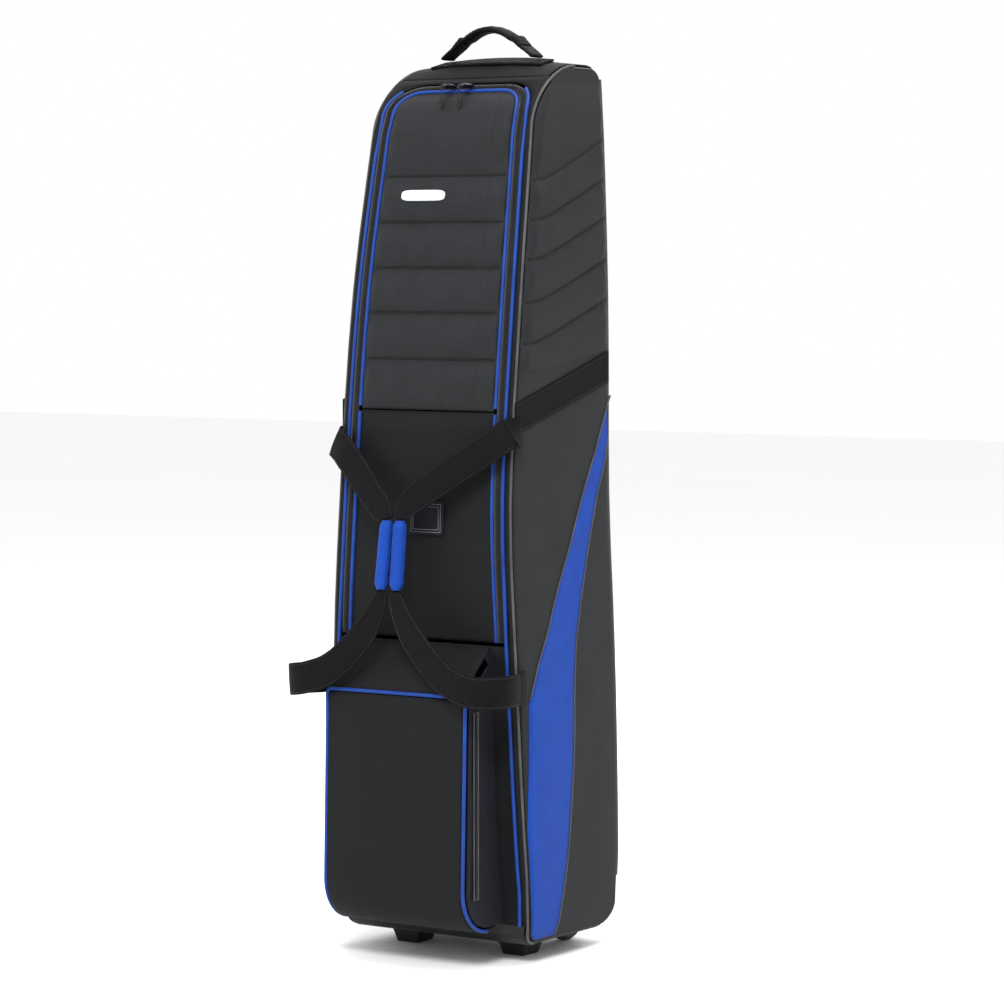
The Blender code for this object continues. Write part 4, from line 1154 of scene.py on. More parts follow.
# ---------------------------------------------------------------- the door
@dataclass
class Door:
    """Quilted upper leaf, plain lower leaf, zip, piping and the trim on them.

    Args:
        seams: Heights of the quilting seams.
        swell: Height of the padding.
        zip_outer: Distance from the door's edge to the zip tape's outer edge.
        zip_inner: Distance from the door's edge to its inner edge.
        badge_lift: How far the badge stands off the front.
    """

    case: CaseShell
    seams: tuple = (0.846, 0.911, 0.974, 1.038, 1.103)
    swell: float = 0.0115
    zip_outer: float = 0.0171
    zip_inner: float = 0.0056
    badge_lift: float = 0.0118
    thickness: float = 0.004
    columns: int = 60

    def leaf_row(self, s: float, columns: int, lift: float = 0.0) -> list[Vector]:
        """Points across the door at a length up the front."""
        y, z = self.case.at(s)
        out = self.case.normal(s) * lift
        w = self.case.line_half(s, self.case.inset)
        return [Vector((w * (2 * j / columns - 1), y, z)) + out for j in range(columns + 1)]

    def build(self) -> None:
        """Make every piece of the door."""
        self.upper()
        self.lower()
        self.zip_tape()
        self.piping()
        self.badge()
        self.card_window()
        for side in ("left", "right"):
            self.slider(side)

    def upper(self) -> None:
        """The quilted leaf that folds forward."""
        case = self.case
        marks = [case.crease + 0.0006, *[case.length_at(z) for z in self.seams]]
        stations = []
        for a, b in zip(marks, marks[1:]):
            stations += [a + (b - a) * gather(k / 18) for k in range(18)]
        top_band = case.stations(case.inset, marks[-1], 0.0045, 16)
        stations += top_band
        rows = [self.leaf_row(s, self.columns) for s in stations]
        data = grid_mesh("door_quilt", rows, (0, -1, 0))
        width = self.columns + 1
        seam_rows = {18 * k for k in range(1, len(self.seams) + 1)}
        held = []
        for i in range(len(rows)):
            for j in range(width):
                border = i == 0 or i > len(rows) - 2 or j < 1 or j > width - 2
                seam = i in seam_rows and 2 <= j <= width - 5
                if border or seam:
                    held.append(i * width + j)
        bounds = (*marks, case.door_top + 0.030)
        padding = []
        for s in stations:
            puff = self.swell * channel_height(s, bounds)
            if s > marks[-1]:
                puff *= 1 - 0.35 * ramp(s, marks[-1] + 0.03, case.door_top)
            for j in range(width):
                edge = min(j, width - 1 - j) / width
                side_seam = math.exp(-((j - self.columns * 0.865) / 0.9) ** 2) * 0.45
                padding.append(puff * ramp(edge, -0.012, 0.06) * (1 - side_seam)
                               * ramp(case.door_top - s, 0.0, 0.020))
        Quilter(pressure=5.0, slack=0.018, cap=0.0085).swell(data, held, padding)
        for i in range(len(rows)):
            for j in range(width):
                v = data.vertices[i * width + j]
                edge = min(i, len(rows) - 1 - i, j, width - 1 - j)
                fade = ramp(edge, 0, 6)
                v.co.y += 0.0011 * fade * wrinkle(v.co, 0.035, 9.0)
        item = link("door_quilt", data, Finish.QUILT, "door",
                    ["door_leaf_upper"])
        shell(item, self.thickness)
        lining = [self.leaf_row(s, 12, -self.thickness - 0.0012) for s in stations[1:-3:4]]
        for row in lining:
            for p in row:
                p.x *= 0.955
        piece = sheet("door_lining", lining, AHEAD, Finish.LINING, 0.005, ["door_foam"],
                      "door")
        lines = [self.leaf_row(case.length_at(z), 40, -0.0002)[1:-1] for z in self.seams]
        stitches("door_seam_stitches", lines, (0, -1, 0.1), "grey_cloth", "door")
        # Painted shade: near-black cords along the door's seams stand in for the shadow that falls
        # in the seams.
        for index, line in enumerate(lines):
            cord(f"door_seam_shade_cord_{index + 1}", line, 0.0017, Finish.SEAM_SHADE, "door")

    def lower(self) -> None:
        """The plain leaf below the crease, slack between its edges."""
        case = self.case
        count = 64
        rows = []
        for i in range(count + 1):
            s = case.door_low + (case.crease - 0.0012 - case.door_low) * i / count
            row = self.leaf_row(s, 48)
            for j, p in enumerate(row):
                fade = ramp(min(j, 48 - j), 0, 8) * ramp(min(i, count - i), 0, 8)
                roll = 0.0045 * math.exp(-((i - count + 4) / 3.0) ** 2) * ramp(min(j, 48 - j), 0, 5)
                soft = 0.0030 * wrinkle(p, 0.13, 5.0) + 0.0014 * wrinkle(p, 0.05, 6.0)
                p.y -= (0.0022 + soft) * fade + roll
            rows.append(row)
        sheet("door_cloth_lower", rows, AHEAD, Finish.BODY, self.thickness, ["door_leaf_lower"])

    def band(self, inner: float, outer: float, lift: float) -> list[list[Vector]]:
        """Rows of a flat band round the door between two offsets."""
        case, rows = self.case, []
        low = case.door_low
        for a, b in zip(case.stations(inner, low, 0.012), case.stations(outer, low, 0.012)):
            row = []
            for s, offset in ((b, outer), (a, inner)):
                y, z = case.at(s)
                row.append(Vector((case.line_half(s, offset), y, z)) + case.normal(s) * lift)
            middle = (row[0] + row[1]) / 2 + Vector((0, -0.0004, 0.0001))
            rows.append([row[0], middle, row[1]])
        return rows + [[Vector((-p.x, p.y, p.z)) for p in row] for row in rows[::-1]]

    def zip_tape(self) -> None:
        """Tape round the door with its interlocking coil."""
        case = self.case
        outer, inner = case.inset - self.zip_outer, case.inset - self.zip_inner
        sheet("door_zip_tape", self.band(inner, outer, 0.0002), AHEAD, Finish.ZIP, 0.0010,
              ["zip_tape"])
        middle = (inner + outer) / 2
        path = []
        for s in case.stations(middle, case.door_low, 0.004):
            y, z = case.at(s)
            path.append(Vector((case.line_half(s, middle), y, z)) + case.normal(s) * 0.0012)
        path += [Vector((-p.x, p.y, p.z)) for p in path[::-1]]
        link("door_zip_coil", coil_mesh("zip_coil", path), Finish.TEETH, "case", ())

    def piping(self) -> None:
        """Blue cords at the door's edge and outside the zip."""
        for node, body in (("door_piping_upper", "door"), ("door_piping_left", "case"),
                           ("door_piping_right", "case"), ("outer_piping_left", "case"),
                           ("outer_piping_right", "case"), ("pocket_piping", "case")):
            replace_cord(node, body, Finish.PIPING, 0.0026)
        for side in ("left", "right"):
            replace_cord(f"side_piping_{side}", "case", Finish.EDGE, 0.0021)

    def badge(self) -> None:
        """A plain rounded plate with a raised rim."""
        low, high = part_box("badge")
        centre = (low + high) / 2
        out = self.case.normal(self.case.length_at(centre.z))
        along = Vector((1, 0, 0))
        up = along.cross(out) * -1
        if up.z < 0:
            up = -up
        half_w, half_h = (high.x - low.x) / 2, (high.z - low.z) / 2
        base = Vector((centre.x, self.case.front_y(centre.z), centre.z)) + out * self.badge_lift
        rings = []
        for inset, lift in ((0.0, -0.0022), (0.0, 0.0004), (0.0007, 0.0011), (0.0016, 0.0011),
                            (0.0020, 0.0006), (0.0040, 0.0006)):
            ring = []
            for a in around(48):
                c, s = math.cos(a), math.sin(a)
                x = math.copysign(abs(c) ** 0.35, c) * (half_w - inset)
                y = math.copysign(abs(s) ** 0.55, s) * (half_h - inset)
                ring.append(base + along * x + up * y + out * lift)
            rings.append(ring)
        solid("plain_badge", rings, Finish.BADGE, "door", ["badge"])

    def card_window(self) -> None:
        """A sewn pocket for a card with a stitched border."""
        low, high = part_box("card_window")
        rows = []
        for i, height in enumerate(spaced(low.z, high.z, 12)):
            s = self.case.length_at(height)
            y, z = self.case.at(s)
            row = []
            for j, x in enumerate(spaced(low.x, high.x, 14)):
                rim = 0.0012 if min(i, 12 - i) < 2 or min(j, 14 - j) < 2 else 0.0
                row.append(Vector((x, y, z)) + self.case.normal(s) * (0.0062 + rim))
            rows.append(row)
        sheet("card_pocket", rows, AHEAD, Finish.GUSSET, 0.0030, ["card_window"])
        lines = []
        for inset in (0.004, 0.0075):
            x0, x1, z0, z1 = low.x + inset, high.x - inset, low.z + inset, high.z - inset
            corners = [(x0, z0), (x1, z0), (x1, z1), (x0, z1), (x0, z0)]
            for (xa, za), (xb, zb) in zip(corners, corners[1:]):
                lines.append([(x, self.case.front_y(z) - 0.0076, z)
                              for x, z in zip(spaced(xa, xb, 4), spaced(za, zb, 4))])
        stitches("card_pocket_stitches", lines, AHEAD, "black_cloth", "case", Finish.PALE_THREAD,
                 pitch=0.0034, radius=0.0004)

    def slider(self, side: str) -> None:
        """A cast slider on the top run and its corded pull."""
        slider_body(f"door_slider_body_{side}", f"door_slider_{side}", 1, 0, (0.62, 0.75, 0.55))
        corded_pull(f"door_pull_cord_{side}", f"door_pull_{side}", (1, 0, 0), (0, 1, 0))


def slider_body(name: str, node: str, along: int, wide: int, form: tuple) -> None:
    """A cast zip slider inside its node's box.

    Args:
        name: The piece's name.
        node: The CAD node, whose body it rides on.
        along: Number of the axis that the zip runs on.
        wide: Number of the axis across the zip.
        form: Width at the narrow end, how much of the swell's arc it follows, and its end height.
    """
    low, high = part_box(node)
    reach = (high - low) / 2
    waist, arc, crown = form
    thin = 3 - along - wide
    first, second = sorted((wide, thin))
    rings = []
    for t in spaced(0, 1, 8):
        size = {wide: reach[wide] * (waist + (1 - waist) * math.sin(math.pi * (0.15 + arc * t))),
                thin: reach[thin] * (crown + (1 - crown) * math.sin(math.pi * t) ** 0.5)}
        ring = []
        for a in around(16):
            place = (low + high) / 2
            place[along] = low[along] + (high[along] - low[along]) * t
            place[first] += size[first] * math.cos(a)
            place[second] += size[second] * math.sin(a)
            ring.append(place)
        rings.append(ring)
    solid(name, rings, Finish.GUNMETAL, node, [node])


def coil_mesh(name: str, path: Sequence[Point], pitch: float = 0.0022,
              half: float = 0.0024) -> bpy.types.Mesh:
    """Zip teeth: small rounded bars across a path."""
    points = smooth_line(path, pitch)
    bars = []
    for i in range(1, len(points) - 1):
        along = (points[i + 1] - points[i - 1]).normalized()
        up = along.cross(Vector((1, 0, 0)))
        out = Vector(AHEAD) if up.length < 0.05 else Vector((0, -along.z, along.y))
        if abs(along.x) > 0.5:
            out = Vector((0, -0.6, 0.8))
        side = along.cross(out).normalized()
        out = side.cross(along).normalized()
        if out.y > 0:
            out = -out
        shift = side * (half * 0.22 * (1 if i % 2 else -1))
        a, s, o = along * (pitch * 0.30), side * half, out * 0.0008
        bars.append([points[i] + shift + a * e + s * u + o * v
                     for u in (-1, 1) for e, v in BAR_SECTION])
    return bars_mesh(name, bars)


def corded_pull(name: str, node: str, across: Point, out: Point) -> None:
    """A pull tab: a moulded grip on a loop of cord, inside its node's box."""
    low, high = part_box(node)
    centre = (low + high) / 2
    across, out = Vector(across), Vector(out)
    half_w = abs((high - low).dot(across)) / 2
    half_t = abs((high - low).dot(out)) / 2
    places = (0.0, 0.06, 0.35, 0.55, 0.62, 1.0)
    rings = []
    for k, t in enumerate(spaced(0, 1, 14)):
        w = half_w * interp(t, places, (0.55, 0.9, 1.0, 0.75, 0.30, 0.26))
        h = half_t * interp(t, places, (0.5, 0.9, 1.0, 0.9, 0.5, 0.45))
        h *= 1.0 + (0.12 if k % 2 and t < 0.5 else 0.0)
        mid = Vector((centre.x, centre.y, low.z + (high.z - low.z) * t))
        rings.append([mid + across * w * math.cos(a) + out * h * math.sin(a)
                      for a in around(14)])
    solid(name, rings, Finish.PULL, node, [node])


def node_points(node: str) -> list[Vector]:
    """The different corner points of a CAD node."""
    seen: dict[tuple, Vector] = {}
    for v in frame["nodes"][node].data.vertices:
        seen.setdefault((round(v.co.x, 5), round(v.co.y, 5), round(v.co.z, 5)), v.co.copy())
    return list(seen.values())


def chain(points: list[Vector], start: Vector, count: int) -> list[Vector]:
    """Order points from the one nearest start, each next to the last."""
    left = list(points)
    here = min(left, key=lambda p: (p - start).length)
    out = [here]
    left.remove(here)
    while left and len(out) < count:
        here = min(left, key=lambda p: (p - here).length)
        out.append(here)
        left.remove(here)
    return out


def cord_line(node: str, reach: float) -> list[Vector]:
    """Centre line of a CAD cord, from its rings of points."""
    left = node_points(node)
    rings = []
    while left:
        seed = left.pop()
        ring = [seed] + [p for p in left if (p - seed).length < reach]
        left = [p for p in left if (p - seed).length >= reach]
        rings.append(sum(ring, Vector()) / len(ring))
    low = min(rings, key=lambda p: p.z + p.x * 0.05)
    return chain(rings, low, len(rings))


def replace_cord(node: str, body: str, finish: Finish, radius: float) -> None:
    """A smooth cord in place of a CAD one."""
    line = even_line(cord_line(node, 0.0062), 0.0045)
    link(f"{node}_cord", cord_mesh(node, line, radius, 12), finish, body, [node])


# ---------------------------------------------------------------- the pocket
@dataclass
class Pocket:
    """The stuffed shoe pocket with its gussets, zip and pull."""

    case: CaseShell
    thickness: float = 0.0035

    def build(self) -> None:
        """Make every piece of the pocket."""
        self.front()
        self.lid()
        for side, sign in SIDES:
            self.gusset(side, sign)
        self.slider()

    def front(self) -> None:
        """The front panel, full in the middle and rolled under at the bottom."""
        low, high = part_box("pocket_front")
        tree = Tree("pocket_front")
        start = Vector((0.0, high.y - 0.005, low.z + 0.070))
        rows = []
        top_rows = 40
        for i in range(top_rows + 1):
            z = high.z - 0.0006 - (high.z - 0.0006 - start.z) * i / top_rows
            rows.append(self.front_row(tree, Vector((0, -1.0, z)), Vector((0, 1, 0)), high))
        for k in range(1, 19):
            a = math.radians(88) * k / 18
            ray = Vector((0.0, -math.cos(a), -math.sin(a)))
            rows.append(self.front_row(tree, start + ray * 0.5, -ray, high))
        rows = [row for row in rows if row]
        count = len(rows) - 1
        for i, row in enumerate(rows):
            for j, p in enumerate(row):
                across, up = j / 24 - 1, i / count
                fade = (1 - across ** 4) * math.sin(math.pi * min(max(up, 0.0), 1.0)) ** 0.55
                soft = 0.0028 * wrinkle(p, 0.12, 8.0) + 0.0012 * wrinkle(p, 0.045, 2.5)
                p.y -= (0.0050 + soft) * fade
        item = sheet("pocket_cloth_front", rows, AHEAD, Finish.BODY, self.thickness,
                     ["pocket_front"])

    def front_row(self, tree: Tree, start: Vector, ray: Vector, high: Vector) -> list[Vector]:
        """Points across the panel where a ray meets it."""
        place = tree.hit(start, ray)
        if place is None:
            return []
        return [Vector((high.x * (j / 24 - 1), place.y, place.z)) for j in range(49)]

    def lid(self) -> None:
        """The slanted top, sagging between its edges."""
        low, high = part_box("pocket_lid")
        tree = Tree("pocket_lid")
        rows = []
        for i in range(19):
            t = i / 18
            y = low.y + 0.0004 + (high.y - low.y - 0.0010) * t
            place = tree.hit((0.0, y, 1.0), (0, 0, -1))
            if place is None:
                continue
            row = []
            for j in range(33):
                across = j / 16 - 1
                fade = (1 - across ** 4) * math.sin(math.pi * t)
                soft = 0.002 * wrinkle(Vector((across * 0.11, y, 0)), 0.05, 3.3)
                row.append(((high.x + 0.0024) * across, y, place.z + (0.003 + soft) * fade))
            rows.append(row)
        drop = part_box("pocket_front")[1].z + 0.0006
        rows.insert(0, [(x, low.y - 0.0030, drop) for x, _, _ in rows[0]])
        sheet("pocket_cloth_lid", rows, (0, -0.5, 1), Finish.BODY, 0.0022, ["pocket_lid"])

    def gusset(self, side: str, sign: int) -> None:
        """A side wall with soft folds and its zip."""
        node = f"pocket_gusset_{side}"
        low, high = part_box(node)
        tree = Tree(node)
        middle = (low.x + high.x) / 2
        rows = []
        for i, z in enumerate(spaced(low.z + 0.0008, high.z - 0.0008, 60)):
            a = tree.hit((middle, -1.0, z), (0, 1, 0))
            b = tree.hit((middle, 1.0, z), (0, -1, 0))
            if a is None or b is None or b.y - a.y < 0.0012:
                continue
            b.y = max(b.y, self.case.front_y(z) - 0.0006)
            row = []
            for j in range(25):
                t = j / 24
                y = a.y + (b.y - a.y) * t
                fade = ramp(min(t, 1 - t), 0.0, 0.2) * math.sin(math.pi * (i + 0.5) / 61) ** 0.4
                fold = 0.0026 * wrinkle(Vector((0, y * 1.8, z)), 0.055, 5.5 + sign)
                row.append((sign * (abs(high.x if sign > 0 else low.x) - 0.0004 + fold * fade
                                    - 0.0014 * fade), y, z))
            rows.append(row)
        lid_low, lid_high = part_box("pocket_lid")
        for z in spaced(high.z, lid_high.z - 0.0006, 8)[1:]:
            share = (z - lid_low.z) / (lid_high.z - lid_low.z)
            y0 = lid_low.y + (lid_high.y - lid_low.y) * share
            y1 = max(self.case.front_y(z) - 0.0006, y0 + 0.0006)
            rows.append([(below[0] - sign * 0.0003, y, z)
                         for below, y in zip(rows[-1], spaced(y0, y1, 24))])
        sheet(f"pocket_cloth_{side}", rows, (sign, 0, 0), Finish.GUSSET, self.thickness - 0.001,
              [node])
        self.zip_run(side, sign)

    def zip_run(self, side: str, sign: int) -> None:
        """The upright zip on a gusset: tape, teeth and two thin edges."""
        low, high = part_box(f"pocket_zip_{side}")
        face = sign * max(abs(low.x), abs(high.x))
        rows = [[(face - sign * 0.0006, y, z) for y in spaced(low.y, high.y, 4)]
                for z in spaced(low.z, high.z, 30)]
        sheet(f"pocket_zip_tape_{side}", rows, (sign, 0, 0), Finish.ZIP, 0.0009,
              [f"pocket_zip_{side}"])
        y = (low.y + high.y) / 2
        path = [(face, y, z) for z in (low.z + 0.004, (low.z + high.z) / 2, high.z - 0.004)]
        link(f"pocket_zip_coil_{side}", side_teeth("pocket_coil", path, sign), Finish.TEETH,
             "case", ())
        for name, at in (("front", low.y - 0.0014), ("rear", high.y + 0.0014)):
            line = [(face - sign * 0.0003, at, z) for z in spaced(low.z, high.z, 20)]
            cord(f"pocket_zip_edge_{name}_{side}", line, 0.0009, Finish.EDGE)

    def slider(self) -> None:
        """The slider at the bottom of the left gusset and its pull."""
        slider_body("pocket_slider_body", "pocket_slider", 2, 1, (0.6, 0.7, 0.6))
        corded_pull("pocket_pull_cord", "pocket_pull", (0, 1, 0), (1, 0, 0))


def side_teeth(name: str, path: Sequence[Point], sign: int) -> bpy.types.Mesh:
    """Zip teeth on an upright run that faces sideways."""
    points = smooth_line(path, 0.0022)
    bars = []
    for i, p in enumerate(points):
        shift = 0.0005 * (1 if i % 2 else -1)
        bars.append([p + Vector((sign * 0.0007 * v, 0.0022 * u + shift, 0.0007 * e))
                     for u in (-1, 1) for e, v in ((-1, -0.3), (1, -0.3), (0.6, 1), (-0.6, 1))])
    return bars_mesh(name, bars)


# ---------------------------------------------------------------- straps
@dataclass
class Ribbon:
    """A CAD strap's two edges, read from its corner points.

    Args:
        node: The strap's node.
        start: A place near one end of one edge.
        thickness: The strap's thickness in CAD.
        profile: Points round the webbing's section, as shares of half its width and thickness.
    """

    node: str
    start: Vector
    thickness: float
    profile: tuple = ((-1.0, 0.0), (-0.97, 0.8), (-0.5, 1.0), (0.0, 1.0), (0.5, 1.0), (0.97, 0.8),
                      (1.0, 0.0), (0.97, -0.8), (0.5, -1.0), (0.0, -1.0), (-0.5, -1.0),
                      (-0.97, -0.8))

    def edges(self) -> tuple[list[Vector], list[Vector]]:
        """Both long edges as ordered points at mid thickness."""
        left = node_points(self.node)
        middles = []
        while left:
            p = left.pop()
            twin = min(left, key=lambda q: abs((q - p).length - self.thickness))
            left.remove(twin)
            middles.append((p + twin) / 2)
        half = len(middles) // 2
        first = chain(middles, self.start, half)
        rest = [m for m in middles if all(m is not f for f in first)]
        second = chain(rest, first[0], half)
        return first, second

    def dress(self, name: str, body: str, hint: Vector, thickness: float = 0.0022,
              curl: float = 0.0012) -> tuple[Vector, Vector, Vector, Vector]:
        """Build the strap with rounded, stitched edges.

        Args:
            name: The piece's name.
            body: The body it rides on.
            hint: Rough outward direction at its start.
            thickness: Thickness of the webbing.
            curl: How far the middle stands out of the edges.

        Returns:
            The corners of its first end and of its last end.
        """
        first, second = self.edges()
        a, b = smooth_line(first, 0.004), smooth_line(second, 0.004)
        count = min(len(a), len(b))
        a, b = ([line[round(k * (len(line) - 1) / (count - 1))] for k in range(count)]
                for line in (a, b))
        rings, rows_a, rows_b = [], [], []
        out = hint.normalized()
        for i in range(count):
            along = (a[min(i + 1, count - 1)] + b[min(i + 1, count - 1)]
                     - a[max(i - 1, 0)] - b[max(i - 1, 0)]).normalized()
            side = b[i] - a[i]
            width = side.length
            side = side.normalized()
            fresh = along.cross(side).normalized()
            out = fresh if fresh.dot(out) > 0 else -fresh
            ring = []
            centre = (a[i] + b[i]) / 2
            ripple = 0.0006 * math.sin(i * 0.9) * (1 if i % 2 else 0.4)
            for u, v in self.profile:
                bow = curl * (1 - u * u) + ripple * u * u
                ring.append(centre + side * (width / 2 * u) + out * (thickness / 2 * v + bow))
            rings.append(ring)
            raised = out * (thickness / 2 + curl * 0.26 + 0.0002)
            rows_a.append(centre - side * (width / 2 * 0.86) + raised)
            rows_b.append(centre + side * (width / 2 * 0.86) + raised)
        solid(name, rings, Finish.BELT, body, [self.node])
        stitches(f"{name}_stitches", [rows_a[1:-1], rows_b[1:-1]], out, "webbing", body,
                 pitch=0.0045, radius=0.00038)
        return a[0], b[0], a[-1], b[-1]


@dataclass
class Straps:
    """Haul loops with their grips, and the webbing sewn on the sides."""

    case: CaseShell
    cad_thickness: float = 0.003

    def build(self) -> None:
        """Make every strap."""
        for side, sign in SIDES:
            body = f"haul_loop_{side}"
            for half in ("upper", "lower"):
                node = f"haul_strap_{side}_{half}"
                low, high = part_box(node)
                z = high.z if half == "upper" else (low.z + high.z) / 2 - 0.04
                start = Vector((sign * max(abs(low.x), abs(high.x)), high.y, z))
                if half == "lower":
                    start = Vector((low.x + high.x, 0, high.z + 0.02))
                    start.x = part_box(f"haul_grip_{side}")[0].x
                    start.y = low.y
                hint = Vector((0, -1, 0)) if half == "lower" else Vector((sign * 0.1, -1, 0.1))
                ends = Ribbon(node, start, self.cad_thickness).dress(f"{node}_webbing", body, hint)
                pair = ends[:2] if half == "upper" else ends[2:]
                self.anchor(f"haul_anchor_{side}_{half}", sign, pair)
            self.grip(side, body)

    def anchor(self, name: str, sign: int, pair: Sequence[Vector]) -> None:
        """Webbing from the sewn seam on the side to a loop's end."""
        top, low = sorted(pair, key=lambda p: -p.z)
        middle = (top + low) / 2
        half = self.case.half(middle.z) + 0.0016
        front = self.case.side_span(middle.z)[0]
        seam = Vector((sign * half, front + 0.010, middle.z))
        rows = []
        for t in spaced(0, 1, 8):
            row = []
            for k in range(7):
                u = 1 - k / 3
                start = seam + Vector((0, 0, BELT_HALF * u))
                place = start.lerp(low.lerp(top, (u + 1) / 2), ramp(t, 0, 1))
                row.append(place + Vector((sign * 0.0022 * math.sin(math.pi * t), 0, 0)))
            rows.append(row)
        item = link(name, grid_mesh(name, rows, (sign, -0.3, 0)), Finish.BELT, None, ())
        shell(item, 0.0020, 0.0)
        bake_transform(item)

    def grip(self, side: str, body: str) -> None:
        """A stuffed blue sleeve with gathered ends and a sewn seam."""
        node = f"haul_grip_{side}"
        low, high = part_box(node)
        points = node_points(node)
        top = [p for p in points if p.z > high.z - 0.002]
        bottom = [p for p in points if p.z < low.z + 0.002]
        start, end = sum(top, Vector()) / len(top), sum(bottom, Vector()) / len(bottom)
        radius = 0.0103
        rings, seam = [], []
        for i in range(41):
            t = i / 40
            centre = start.lerp(end, t)
            near = min(t, 1 - t)
            size = radius * (0.66 + 0.34 * ramp(near, 0.0, 0.09))
            ring = []
            for k in range(28):
                a = 2 * math.pi * k / 28
                pleat = 0.00045 * math.sin(9 * a) * (1 - ramp(near, 0.02, 0.14))
                swell = 0.0005 * wrinkle(Vector((math.cos(a), math.sin(a), t * 5)), 0.6, 2.0)
                r = size + pleat + swell
                ring.append(centre + Vector((r * math.cos(a), r * 0.86 * math.sin(a), 0)))
            rings.append(ring)
            seam.append(centre + Vector((size * 0.80, -size * 0.86 * 0.60, 0)) * 1.03)
        item = solid(f"{node}_sleeve", rings, Finish.BLUE, body, [node])
        cord(f"{node}_seam", seam[2:-2], 0.0007, Finish.PIPING, body)


class TopHandle:
    """The webbing arch with its padded sleeve and the base strip under it."""

    def build(self) -> None:
        """Make the handle."""
        node = "top_handle_sleeve"
        low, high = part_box(node)
        tree = Tree(node)
        centre = Vector((0.0, (low.y + high.y) / 2, low.z - 0.045))
        half_t = 0.0053
        rings, seam = [], []
        reach = math.atan2(high.x - 0.0022, low.z + 0.004 - centre.z)
        for i in range(45):
            a = -reach + 2 * reach * i / 44
            ray = Vector((math.sin(a), 0, math.cos(a)))
            place = tree.hit(centre + ray * 0.3, -ray)
            if place is None:
                continue
            mid = place - ray * half_t
            t = i / 44
            near = min(t, 1 - t)
            size = 0.62 + 0.38 * ramp(near, 0.0, 0.10)
            ring = []
            for k in range(24):
                b = 2 * math.pi * k / 24
                crease = 0.0005 * wrinkle(Vector((t * 9, math.cos(b), math.sin(b))), 0.7, 1.2)
                across = (high.y - low.y) / 2 * size * 0.97 * math.cos(b)
                depth = (half_t * size + crease) * math.sin(b)
                ring.append(mid + Vector((0, across, 0)) + ray * depth)
            rings.append(ring)
            seam.append(mid + Vector((0, -(high.y - low.y) / 2 * size * 0.80, 0))
                        + ray * half_t * size * 0.62)
        item = solid("top_handle_padding", rings, Finish.BELT, "top_handle", [node])
        stitches("top_handle_stitches", [seam[2:-2]], (0, -0.5, 1), "webbing", "top_handle")
        for side, sign in SIDES:
            part = f"top_handle_webbing_{side}"
            low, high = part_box(part)
            start = Vector((sign * max(abs(low.x), abs(high.x)), low.y, low.z))
            Ribbon(part, start, 0.0045).dress(f"{part}_belt", "case", Vector((sign * 0.5, 0, 1)),
                                              0.0040, 0.0)
            self.collar(side, sign)
        self.base_strip()

    def collar(self, side: str, sign: int) -> None:
        """A wrapped band where the webbing enters the padding."""
        belt = sorted(node_points(f"top_handle_webbing_{side}"), key=lambda p: abs(p.x))
        padding = [p for p in node_points("top_handle_sleeve") if p.x * sign > 0]
        reach = max(abs(p.x) for p in padding)
        ring = [p for p in padding if abs(p.x) > reach - 0.0025]
        end = sum(ring, Vector()) / len(ring)
        start = sum(belt[4:8], Vector()) / 4
        end = end + (end - start).normalized() * 0.0045
        along = (end - start).normalized()
        out = Vector((-along.z, 0, along.x)) * (1 if along.x > 0 else -1)
        rings = []
        for t in spaced(0, 1, 8):
            lip = 0.0004 * math.sin(math.pi * t * 3) ** 2
            half_w, half_t = 0.0163 - 0.0006 * t + lip, 0.0031 + 0.0016 * t + lip
            ring = []
            for a in around(32):
                c, s = math.cos(a), math.sin(a)
                across = Vector((0, math.copysign(abs(c) ** 0.4, c) * half_w, 0))
                ring.append(start.lerp(end, t) + across
                            + out * math.copysign(abs(s) ** 0.6, s) * half_t)
            rings.append(ring)
        item = solid(f"top_handle_collar_{side}", rings, Finish.BELT, None, ())
        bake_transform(item)

    def base_strip(self) -> None:
        """Sewn strip on the hood that the handle's ends pass under, with crossed stitches."""
        low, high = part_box("handle_base_strip")
        tree = Tree("handle_base_strip")
        rows = []
        for k in spaced(-1, 1, 40):
            x = (high.x - 0.0006) * k
            row = []
            for y in spaced(low.y + 0.0006, high.y - 0.0006, 8):
                place = tree.hit((x, y, 2.0), DOWN)
                row.append(place if place is not None else Vector((x, y, high.z)))
            rows.append(row)
        sheet("handle_base_belt", rows, UP, Finish.BELT, 0.0034, ["handle_base_strip"])
        lines = []
        for sign in (-1, 1):
            a, b = sign * (high.x - 0.005), sign * (high.x - 0.016)
            y0, y1 = low.y + 0.004, high.y - 0.004
            for xa, ya, xb, yb in ((a, y0, a, y1), (b, y0, b, y1), (a, y0, b, y0), (a, y1, b, y1),
                                   (a, y0, b, y1), (a, y1, b, y0)):
                line = []
                for x, y in zip(spaced(xa, xb, 4), spaced(ya, yb, 4)):
                    place = tree.hit((x, y, 2.0), DOWN)
                    line.append((x, y, (place.z if place else high.z) + 0.0003))
                lines.append(line)
        stitches("handle_base_stitches", lines, UP, "webbing", pitch=0.0032, radius=0.0004)


